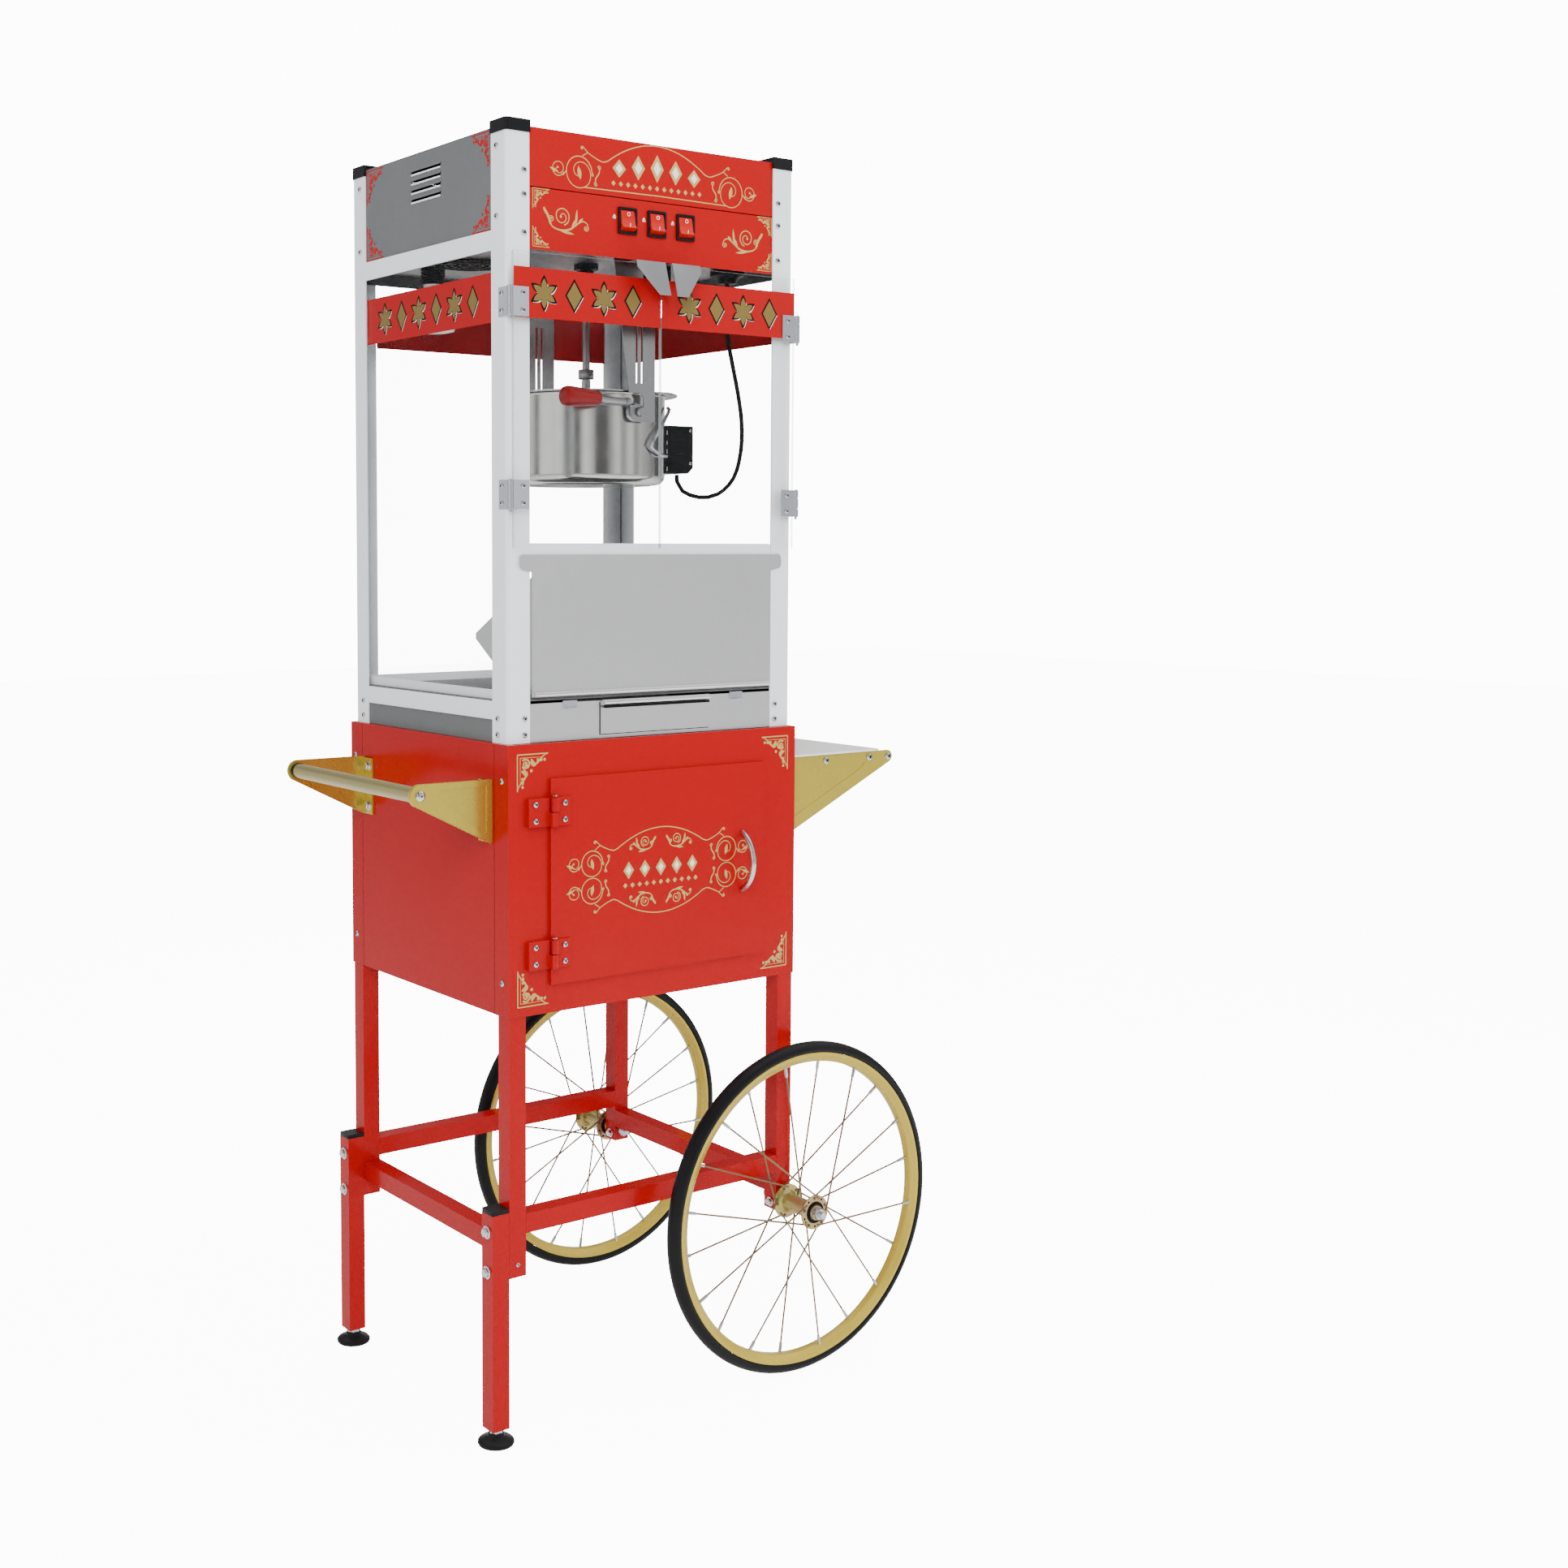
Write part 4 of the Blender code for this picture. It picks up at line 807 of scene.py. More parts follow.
def soften(piece: bpy.types.Object, width: float) -> None:
    """Round the sharp edges of an object a little.

    Args:
        piece: The object.
        width: Width of the round.
    """
    step = piece.modifiers.new("soft_edges", "BEVEL")
    step.width = width
    step.segments = 2
    step.limit_method = "ANGLE"
    step.angle_limit = math.radians(40)
    step.harden_normals = False


def dress(finish: Finish, *nodes: str, bevel: float = 0.0) -> None:
    """Give model nodes a finish.

    Args:
        finish: The finish.
        nodes: Names of the nodes.
        bevel: Width of a small round on their edges, or 0.
    """
    for name in nodes:
        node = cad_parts[name]
        node.data.materials.clear()
        node.data.materials.append(PAINTSHOP.material(finish))
        if bevel > 0:
            soften(node, bevel)
        LOG.info("node  %-26s %s", name, finish.name.lower())


def smooth_route(points: Sequence[Point3], step: float) -> list[Vector]:
    """Points about a step apart on a smooth curve through given points.

    Args:
        points: The points it passes through.
        step: Wanted distance.

    Returns:
        The finer points.
    """
    knots = [Vector(p) for p in points]
    knots = [2 * knots[0] - knots[1]] + knots + [2 * knots[-1] - knots[-2]]
    route = []
    for a, b, c, d in zip(knots, knots[1:], knots[2:], knots[3:]):
        pieces = max(1, round((c - b).length / step))
        for i in range(pieces):
            t = i / pieces
            route.append(b + 0.5 * t * ((c - a) + t * ((2 * a - 5 * b + 4 * c - d) + t * (3 * (b - c) + d - a))))
    return route + [knots[-2]]


# ---------------------------------------------------------------- ornaments

@dataclass(frozen=True)
class Plane:
    """Flat ground that ornaments are printed on.

    Attributes:
        origin: Where drawing point (0, 0) lies.
        right: Direction of the drawing's first coordinate.
        up: Direction of its second coordinate.
        out: The way the print faces.
    """

    origin: Point3
    right: Point3
    up: Point3
    out: Point3

    def at(self, point: Point2, proud: float) -> Vector:
        """Point in space of a drawing point.

        Args:
            point: Drawing point.
            proud: Height above the ground.

        Returns:
            The point in space.
        """
        spot = Vector(self.origin) + Vector(self.right) * point[0] + Vector(self.up) * point[1]
        return spot + Vector(self.out) * proud


def front_ground(origin: Point3) -> Plane:
    """Upright ground that faces the front of the machine.

    Args:
        origin: Where drawing point (0, 0) lies.

    Returns:
        The ground.
    """
    return Plane(origin, (1, 0, 0), (0, 0, 1), (0, -1, 0))


def parabola(reach: float, top: float, fall: float) -> list[Point2]:
    """Half of a low arch, from its crown outward.

    Args:
        reach: How far it goes sideways.
        top: Height of its crown.
        fall: How far it comes down at its end.

    Returns:
        Its points.
    """
    return [(reach * t, top - fall * t * t) for t in (i / 20 for i in range(21))]


@dataclass
class Scrollwork:
    """Printed scrolls, leaves and dots on one plane.

    Attributes:
        plane: The ground.
        draft: The piece that takes the prints.
        proud: Height of the print above the ground.
        flip: 1, or -1 to mirror the drawing left to right.
        turn: 1, or -1 to mirror it top to bottom.
        centre: Point the drawing is placed about.
        size: Scale of the drawing.
        layer: Number of shapes printed so far; each lies a hair above the last.
    """

    plane: Plane
    draft: Draft
    proud: float = DECAL
    flip: int = 1
    turn: int = 1
    centre: Point2 = (0.0, 0.0)
    size: float = 1.0
    layer: int = 0

    def _spot(self, point: Point2) -> Vector:
        """Drawing point placed, mirrored and scaled.

        Args:
            point: Point of the drawing.

        Returns:
            The point in space.
        """
        a = self.centre[0] + self.flip * self.size * point[0]
        b = self.centre[1] + self.turn * self.size * point[1]
        return self.plane.at((a, b), self.proud + 0.000003 * self.layer)

    def _face(self, corners: Sequence[Point2]) -> None:
        """Print one small face, turned to face outward.

        Args:
            corners: Its corners in the drawing.
        """
        verts = [self.draft.mesh.verts.new(self._spot(corner)) for corner in corners]
        face = self.draft.mesh.faces.new(verts)
        face.normal_update()
        if face.normal.dot(Vector(self.plane.out)) < 0:
            face.normal_flip()
        face.material_index = self.draft.ink

    def ribbon(self, points: Sequence[Point2], start: float, end: float, middle: float | None = None) -> None:
        """Print a line whose width runs from start over middle to end.

        Args:
            points: Its centreline.
            start: Width at the start.
            end: Width at the end.
            middle: Width half way, or None for a plain taper.
        """
        self.layer += 1
        count = len(points) - 1
        sides = []
        for i, (x, y) in enumerate(points):
            ax, ay = points[max(i - 1, 0)]
            bx, by = points[min(i + 1, count)]
            length = math.hypot(bx - ax, by - ay) or 1.0
            share = i / count
            width = start + (end - start) * share
            if middle is not None:
                width += (middle - (start + end) / 2) * math.sin(math.pi * share)
            nx, ny = -(by - ay) / length * width / 2, (bx - ax) / length * width / 2
            sides.append(((x + nx, y + ny), (x - nx, y - ny)))
        for (a, b), (c, d) in zip(sides, sides[1:]):
            self._face([a, b, d, c])

    def shape(self, outline: Sequence[Point2]) -> None:
        """Print a filled outline that is star-shaped about its middle.

        Args:
            outline: The outline.
        """
        self.layer += 1
        middle = (sum(p[0] for p in outline) / len(outline), sum(p[1] for p in outline) / len(outline))
        for a, b in zip(outline, list(outline[1:]) + [outline[0]]):
            self._face([middle, a, b])

    def diamond(self, middle: Point2, wide: float, tall: float) -> None:
        """Print a diamond.

        Args:
            middle: Its middle.
            wide: Half of its width.
            tall: Half of its height.
        """
        x, y = middle
        self.shape([(x, y + tall), (x + wide, y), (x, y - tall), (x - wide, y)])

    def smooth(self, points: Sequence[Point2], start: float, end: float, middle: float | None = None) -> None:
        """Print a line on a smooth curve through given points.

        Args:
            points: The points it passes through.
            start: Width at the start.
            end: Width at the end.
            middle: Width half way, or None for a plain taper.
        """
        route = smooth_route([(x, y, 0.0) for x, y in points], 0.0015)
        self.ribbon([(spot.x, spot.y) for spot in route], start, end, middle)

    def dot(self, centre: Point2, radius: float) -> None:
        """Print a round dot.

        Args:
            centre: Its middle.
            radius: Its radius.
        """
        self.shape(arc(centre, radius, 0, 330, 11))

    def leaf(self, base: Point2, heading: float, length: float, width: float) -> None:
        """Print a pointed leaf.

        Args:
            base: Where it starts.
            heading: Its direction in degrees.
            length: Its length.
            width: Its greatest width.
        """
        turn = math.radians(heading)
        points = []
        for i in range(9):
            reach = length * (i / 8)
            points.append((base[0] + reach * math.cos(turn), base[1] + reach * math.sin(turn)))
        self.ribbon(points, width * 0.1, width * 0.05, width)

    def curl(self, centre: Point2, radius: float, start: float, turns: float, width: float,
             hold: float = 0.0) -> list[Point2]:
        """Print a spiral that winds in to a dot.

        Args:
            centre: Middle of the spiral.
            radius: Radius at its outer end.
            start: Angle of its outer end in degrees.
            turns: Turns, negative for clockwise.
            width: Width of the line at its outer end.
            hold: Share of the spiral that keeps its full radius.

        Returns:
            The spiral's centreline.
        """
        steps = max(12, round(abs(turns) * 22))
        points = []
        for i in range(steps + 1):
            share = i / steps
            size = radius * (1.0 - 0.78 * max(0.0, (share - hold) / (1.0 - hold)) ** 0.9)
            angle = math.radians(start) + math.tau * turns * share
            points.append((centre[0] + size * math.cos(angle), centre[1] + size * math.sin(angle)))
        self.ribbon(points, width, width * 0.7)
        self.dot(points[-1], width * 1.1)
        return points

    def corner(self, size: float) -> None:
        """Print a triangular corner of scrolls with its right angle at the drawing's origin.

        Args:
            size: Length of its legs.
        """
        line = size * 0.035
        self.ribbon([(0.0, 0.0), (size, 0.0)], line, line)
        self.ribbon([(0.0, 0.0), (0.0, size)], line, line)
        inner = size * 0.09
        self.ribbon([(inner, inner), (size * 0.80, inner)], line * 0.6, line * 0.3)
        self.ribbon([(inner, inner), (inner, size * 0.80)], line * 0.6, line * 0.3)
        self.curl((size * 0.27, size * 0.27), size * 0.15, 225, 1.5, line * 1.5)
        for swap in (False, True):
            def put(point: Point2) -> Point2:
                """Find where a point of the corner drawing lies.

                Args:
                    point: The point, before it is mirrored.

                Returns:
                    The point to print at.
                """
                return (point[1], point[0]) if swap else point
            arm = [put((size * (0.33 + 0.62 * s), size * (0.15 + 0.13 * math.sin(math.pi * s * 1.5)))) for s in
                   (i / 14 for i in range(15))]
            self.ribbon(arm, line * 0.9, line * 0.4, line * 1.6)
            start, way, heading = (90, -1, 28.0) if swap else (0, 1, 62.0)
            self.curl(put((size * 0.52, size * 0.25)), size * 0.085, start, way * 1.3, line * 1.1)
            self.curl(put((size * 0.76, size * 0.15)), size * 0.055, start, way * 1.2, line * 0.9)
            for spot, length in ((0.44, 0.16), (0.64, 0.12), (0.86, 0.10)):
                self.leaf(put((size * spot, size * 0.12)), heading, size * length, line * 2.4)
        self.dot((size * 0.45, size * 0.45), line * 1.3)

    def flourish(self, line: float) -> None:
        """Print a spray of a spiral, two side curls and leaves, about 70 mm wide at size 1.

        Args:
            line: Width of its lines.
        """
        self.curl((0.0, 0.002), 0.0102, 285, 1.7, line * 1.2, 0.35)
        base = [(-0.0205, -0.0015), (-0.0190, -0.0070), (-0.0120, -0.0125), (-0.0010, -0.0145), (0.0110, -0.0125),
                (0.0210, -0.0060), (0.0300, -0.0010), (0.0370, -0.0030), (0.0395, -0.0085)]
        self.smooth(base, line * 0.7, line * 0.7, line * 1.8)
        self.curl((-0.0165, -0.0020), 0.0045, 180, -1.3, line * 0.9)
        self.curl((0.0360, -0.0088), 0.0040, 10, -1.3, line * 0.9)
        leaves = ((-0.016, -0.009, 118, 0.024), (-0.021, 0.001, 128, 0.013), (0.020, -0.008, 84, 0.021),
                  (0.014, -0.011, 62, 0.014), (-0.004, -0.015, -8, 0.022), (0.024, -0.004, 45, 0.010))
        for x, y, heading, length in leaves:
            self.leaf((x, y), heading, length, line * 2.6)

    def wing(self, end: Point2, tip: Point2, ring: Point2, radius: float, outer: Point2, line: float) -> None:
        """Print one side of a framed panel: swan neck, large ring, small ring and an S.

        Args:
            end: Where the arch ends and the neck starts.
            tip: Highest point of the neck.
            ring: Middle of the large ring.
            radius: Its radius.
            outer: Middle of the small ring.
            line: Width of the lines.
        """
        reach, rise = tip[0] - end[0], tip[1] - end[1]
        neck = [end, (end[0] + reach * 0.22, end[1] - rise * 0.12), (end[0] + reach * 0.55, end[1] + rise * 0.18),
                (end[0] + reach * 0.80, end[1] + rise * 0.52), tip]
        self.smooth(neck, line, line * 0.8)
        self.curl((tip[0] + 0.0012, tip[1] - 0.0022), 0.0024, 110, -0.9, line * 0.8)
        self.ribbon([neck[3], (ring[0] - radius * 0.25, ring[1] + radius * 1.05)], line * 0.8, line * 0.8)
        self.curl(ring, radius, 188, -1.75, line, 0.52)
        self.curl((ring[0] - radius * 1.02, ring[1] - radius * 0.10), radius * 0.12, 90, 0.8, line * 0.7)
        self.leaf((ring[0] - radius * 0.10, ring[1] - radius * 0.45), 78, radius * 0.85, radius * 0.30)
        small = outer[0] - ring[0] - radius
        self.curl(outer, small * 0.72, 205, 1.6, line * 0.9, 0.5)
        join = [(ring[0] + radius, ring[1]), (outer[0] - small * 0.55, outer[1] - small * 0.62)]
        self.ribbon(join, line * 0.9, line * 0.9)
        self.leaf((outer[0], outer[1] - small * 0.35), 20, small * 1.15, small * 0.32)
        middle = (ring[0] - radius * 1.42, ring[1] - radius * 0.10)
        curve = []
        for t in (i / 18 for i in range(19)):
            sway = radius * 0.16 * math.sin(math.tau * t)
            curve.append((middle[0] + sway, middle[1] + radius * 0.62 * (2 * t - 1)))
        self.ribbon(curve, line * 0.6, line * 0.6, line * 1.3)
        self.curl((middle[0] - radius * 0.14, middle[1] + radius * 0.50), radius * 0.16, 60, 0.9, line * 0.8)
        self.curl((middle[0] + radius * 0.14, middle[1] - radius * 0.50), radius * 0.16, 240, 0.9, line * 0.8)


def printed(name: str, body: str, finish: Finish, draw: Callable[[Draft], None]) -> None:
    """Make one piece of print.

    Args:
        name: Name of the piece.
        body: Body that it moves with.
        finish: Its ink.
        draw: Prints onto the draft.
    """
    draft = Draft().use(finish)
    draw(draft)
    draft.place(name, body)


# ---------------------------------------------------------------- cart

def outer_face(side: str, low: Vector, high: Vector) -> tuple[int, float]:
    """Outward direction and outer face of a piece at the front or back.

    Args:
        side: front or back.
        low: Lowest corner of the piece.
        high: Highest corner of the piece.

    Returns:
        -1 or 1, and the place of the face along y.
    """
    return (-1, low.y) if side == "front" else (1, high.y)


@dataclass
class CartFrame:
    """Tube frame with its lower legs, caps, bolts and levelling feet."""

    leg_cap: float = 0.0055

    def build(self) -> None:
        """Dress the frame and add its small pieces."""
        dress(Finish.RED_PAINT, "side_frame_left", "side_frame_right", "stretcher_front", "stretcher_back",
              "front_leg", "back_leg", bevel=0.0011)
        self._caps_and_bolts()
        for side in ("front", "back"):
            self._foot(side)

    def _caps_and_bolts(self) -> None:
        """Black tube caps, leg bolts and the nuts at the post bottoms."""
        caps = Draft().use(Finish.BLACK_PLASTIC)
        bolts = Draft().use(Finish.CHROME)
        for side in ("front", "back"):
            low, high = cart_box(side + "_leg")
            xs, ys = (low.x - 0.0003, high.x - 0.0002), (low.y - 0.0003, high.y + 0.0003)
            caps.plate("z", high.z + 0.0001, high.z + self.leg_cap, rounded(*xs, *ys, 0.002))
            middle = (low.y + high.y) / 2
            for z in (0.276, 0.2246):
                bolts.hex_bolt((low.x, middle, z), (-1, 0, 0))
            out, face = outer_face(side, low, high)
            post = cart_box("side_frame_left")[0].x + 0.0125
            bolts.hex_bolt((post + 0.0125, middle, 0.2246), (1, 0, 0), 0.005)
            bolts.screw((post, face, 0.2300), (0, out, 0), 0.0030)
            bolts.hex_bolt((0.2196 - 0.0125, middle, 0.2286 - 0.005), (-1, 0, 0), 0.005)
        caps.place("leg_caps", "cart", bevel=0.0008)
        bolts.place("frame_bolts", "cart")

    def _foot(self, side: str) -> None:
        """Moulded foot with its zinc stem.

        Args:
            side: front or back.
        """
        low, high = cart_box(side + "_foot")
        spot = ((low.x + high.x) / 2, (low.y + high.y) / 2)
        foot = Draft().use(Finish.BLACK_PLASTIC)
        foot.turned("z", spot, [(0.0, 0.0), (0.0205, 0.0), (0.0225, 0.0008), (0.0235, 0.0028), (0.0233, 0.0048),
                                (0.0215, 0.0068), (0.0150, 0.0090), (0.0115, 0.0112), (0.0105, 0.0140),
                                (0.0098, 0.0155), (0.0, 0.0155)])
        foot.use(Finish.BRIGHT_ZINC)
        nut = [(0.0, 0.0155), (0.0092, 0.0155), (0.0092, 0.0200), (0.0085, 0.0206), (0.0, 0.0206)]
        foot.turned("z", spot, nut, 6)
        foot.turned("z", spot, [(0.0, 0.0206), (0.0038, 0.0206), (0.0038, high.z), (0.0, high.z)], 20)
        foot.place(side + "_foot_fine", side + "_foot", [side + "_foot"])


@dataclass
class Cabinet:
    """Cart cabinet with its door, hinges, bow pull, handle, shelf and gold scrolls."""

    corner_size: float = 0.046

    def build(self) -> None:
        """Dress the cabinet and add its trim."""
        dress(Finish.RED_PAINT, "cabinet_shell", "cabinet_door", bevel=0.0008)
        dress(Finish.RED_PAINT, "cabinet_hinge_upper", "cabinet_hinge_lower", bevel=0.0004)
        dress(Finish.YELLOW_ZINC, "handle_bracket_front", "handle_bracket_back", "shelf_bracket_front",
              "shelf_bracket_back", bevel=0.0006)
        # The shelf top's near-white colour is a painted highlight of glare.
        dress(Finish.WHITE_SHEET, "shelf_top", bevel=0.0006)
        self._seams_gap_shade_and_screws()
        self._hinge_screws()
        self._pull()
        self._handle()
        self._shelf()
        self._prints()

    def _seams_gap_shade_and_screws(self) -> None:
        """Side panel seam lines, a strip of painted shade for the shadow gap under the machine, and the corner
        screws.
        """
        low, high = cart_box("cabinet_shell")
        seams_and_gap_shade = Draft().use(Finish.SHADOW)
        screws = Draft().use(Finish.CHROME)
        for x, out in ((low.x, -1), (high.x, 1)):
            for y in (-0.1720, 0.1720):
                seams_and_gap_shade.block((x - 0.0001, x + 0.0001), (y - 0.0003, y + 0.0003), (low.z + 0.001, high.z - 0.001))
            for y in (-0.190, 0.190):
                for z in (0.8425, 0.5885):
                    screws.screw((x, y, z), (out, 0, 0), 0.0042)
        # Near-black strip along the cabinet's top edge, front and back: painted shade of the gap under the machine's
        # base.
        for out in (-1, 1):
            seams_and_gap_shade.block((low.x + 0.012, high.x - 0.012), (out * 0.1985, out * 0.1962), (high.z, high.z + 0.0004))
        seams_and_gap_shade.place("cabinet_seams_and_gap_shade", "cart")
        screws.place("cabinet_screws", "cart")

    def _hinge_screws(self) -> None:
        """Two screws on each leaf of the cart door's hinges."""
        fixed, moving = Draft().use(Finish.CHROME), Draft().use(Finish.CHROME)
        for name in ("cabinet_hinge_upper", "cabinet_hinge_lower"):
            low, high = cart_box(name)
            for z in (low.z + 0.0075, low.z + 0.0285):
                fixed.screw((low.x + 0.0105, -0.2105, z), (0, -1, 0), 0.0040)
                moving.screw((-0.1535, -0.2118, z), (0, -1, 0), 0.0040)
            pin_head = [(0.0040, 0.0), (0.0034, 0.0012), (0.0015, 0.0018)]
            fixed.facing((-0.1705, -0.2136, high.z - 0.0002), (0, 0, 1), pin_head, 24)
        fixed.place("cabinet_hinge_screws", "cart")
        moving.place("cabinet_door_screws", "cabinet_door")

    def _pull(self) -> None:
        """Bow pull with its two feet."""
        low, high = cart_box("door_pull")
        x, foot = (low.x + high.x) / 2, high.y
        middle, half = (low.z + high.z) / 2, (high.z - low.z) / 2 - 0.004
        reach = high.y - low.y - 0.005
        radius = (half * half + reach * reach) / (2 * reach)
        spread = math.asin(half / radius)
        turns = [spread * (1 - 2 * i / 32) for i in range(33)]
        bow = [(x, foot - reach + radius * (1 - math.cos(turn)), middle + radius * math.sin(turn)) for turn in turns]
        pull = Draft().use(Finish.CHROME)
        pull.tube(bow, 0.0038, 16)
        pull.place("door_pull_fine", "cabinet_door", ["door_pull"])

    def _handle(self) -> None:
        """Fine handle bar with end rings, bracket borders and bolts."""
        low, high = cart_box("handle_bar")
        spot = ((low.x + high.x) / 2, (low.z + high.z) / 2)
        radius, reach = (high.z - low.z) / 2, high.y
        bar = Draft().use(Finish.OLIVE_ALUMINIUM)
        bar.turned("y", spot, [(0.0, -reach), (radius, -reach), (radius, reach), (0.0, reach)], 64)
        bar.use(Finish.BLACK_PLASTIC)
        for end in (-1, 1):
            inner, outer, ring = end * (reach - 0.0055), end * reach, radius + 0.0006
            bar.turned("y", spot, [(0.0, inner), (ring, inner), (ring, outer), (0.0, outer)], 64)
        bar.place("handle_bar_fine", "cart", ["handle_bar"])

        trim = Draft().use(Finish.YELLOW_ZINC)
        bolts = Draft().use(Finish.CHROME)
        for side in ("front", "back"):
            b_low, b_high = cart_box("handle_bracket_" + side)
            out, face = outer_face(side, b_low, b_high)
            wall = b_high.x
            border = [(wall, 0.7625), (wall, 0.8425)] + arc(spot, 0.0140, 88, 238, 14)
            opening = [(wall - 0.008, 0.778), (wall - 0.008, 0.8355), (wall - 0.074, 0.8345),
                       (wall - 0.079, 0.8275), (wall - 0.013, 0.775)]
            trim.plate("y", *sorted((face, face + out * 0.0016)), border, [opening])
            bolts.facing((spot[0], face + out * 0.0016, spot[1]), (0, out, 0),
                         [(0.0068, 0.0), (0.0066, 0.0018), (0.0050, 0.0034), (0.0022, 0.0040)], 28)
            bolts.screw((spot[0], face + out * 0.0040, spot[1]), (0, out, 0), 0.0030)
            for z in (0.830, 0.775):
                bolts.hex_bolt((wall - 0.0028, out * 0.1500, z), (-1, 0, 0), 0.0055)
        trim.place("handle_bracket_borders", "cart", bevel=0.0006)
        bolts.place("handle_bolts", "cart")

    def _shelf(self) -> None:
        """Pressed borders and round screws of the shelf brackets."""
        trim = Draft().use(Finish.YELLOW_ZINC)
        screws = Draft().use(Finish.CHROME)
        for side in ("front", "back"):
            low, high = cart_box("shelf_bracket_" + side)
            out, face = outer_face(side, low, high)
            tip = (high.x - 0.009, high.z - 0.009)
            wall = low.x
            border = [(wall, low.z + 0.0005)] + arc(tip, 0.0086, -60, 90, 10) + [(wall, high.z - 0.0004)]
            opening = [(wall + 0.002, low.z + 0.020), (wall + 0.132, high.z - 0.024),
                       (wall + 0.142, high.z - 0.015), (wall + 0.002, high.z - 0.017)]
            trim.plate("y", *sorted((face, face + out * 0.0008)), border, [opening])
            for x, z in ((wall + 0.068, high.z - 0.008), (wall + 0.150, high.z - 0.008), (tip[0] + 0.0005, tip[1])):
                screws.screw((x, face + out * 0.0008, z), (0, out, 0), 0.0052)
        trim.place("shelf_bracket_borders", "cart", bevel=0.0003)
        screws.place("shelf_screws", "cart")

    def _prints(self) -> None:
        """Gold corner scrolls on the cabinet and the oval scroll frame on its door."""
        low, high = cart_box("cabinet_shell")
        front = front_ground((0.0, low.y, 0.0))
        inset_x, inset_z = 0.0135, 0.0125

        def corners(draft: Draft) -> None:
            """Print the flourishes in the corners.

            Args:
                draft: Draft that takes the print.
            """
            for x, flip in ((low.x + inset_x, 1), (high.x - inset_x, -1)):
                for z, turn in ((low.z + inset_z, 1), (high.z - inset_z, -1)):
                    Scrollwork(front, draft, flip=flip, turn=turn, centre=(x, z)).corner(self.corner_size)

        printed("cabinet_corner_scrolls", "cart", Finish.GOLD_PRINT, corners)
        d_low, d_high = cart_box("cabinet_door")
        door = front_ground((0.0, -0.2086, 0.0))
        middle = (0.0, (d_low.z + d_high.z) / 2)
        printed("cabinet_door_scrolls", "cabinet_door", Finish.GOLD_PRINT,
                lambda draft: self._oval(draft, door, middle))

    @staticmethod
    def _oval(draft: Draft, plane: Plane, middle: Point2) -> None:
        """Oval frame of scrolls round a row of ornaments.

        Args:
            draft: Piece that takes the print.
            plane: Ground of the print.
            middle: Its centre.
        """
        for flip in (-1, 1):
            for turn in (-1, 1):
                work = Scrollwork(plane, draft, flip=flip, turn=turn, centre=middle)
                work.ribbon(parabola(0.070, 0.0560, 0.0225), FRAME_LINE, FRAME_LINE)
                work.wing((0.070, 0.0335), (0.1040, 0.0464), (0.1097, 0.0175), 0.0165, (0.1375, 0.0180), FRAME_LINE)
                spray = (middle[0] + flip * 0.026, middle[1] + turn * 0.0375)
                Scrollwork(plane, draft, flip=flip, turn=turn, centre=spray, size=0.62).flourish(0.0018)
        work = Scrollwork(plane, draft, centre=middle)
        row = [(k * 0.026, 0.0035) for k in range(-2, 3)]
        for spot in row:
            work.diamond(spot, 0.0085, 0.0115)
        for k in range(-5, 6):
            work.diamond((k * BEAD_PITCH, BEAD_LEVEL), 0.0036, BEAD_TALL)
        draft.use(Finish.WHITE_PRINT)
        bright = Scrollwork(plane, draft, proud=DECAL * 1.5, centre=middle)
        for spot in row:
            bright.diamond(spot, 0.0044, 0.0060)


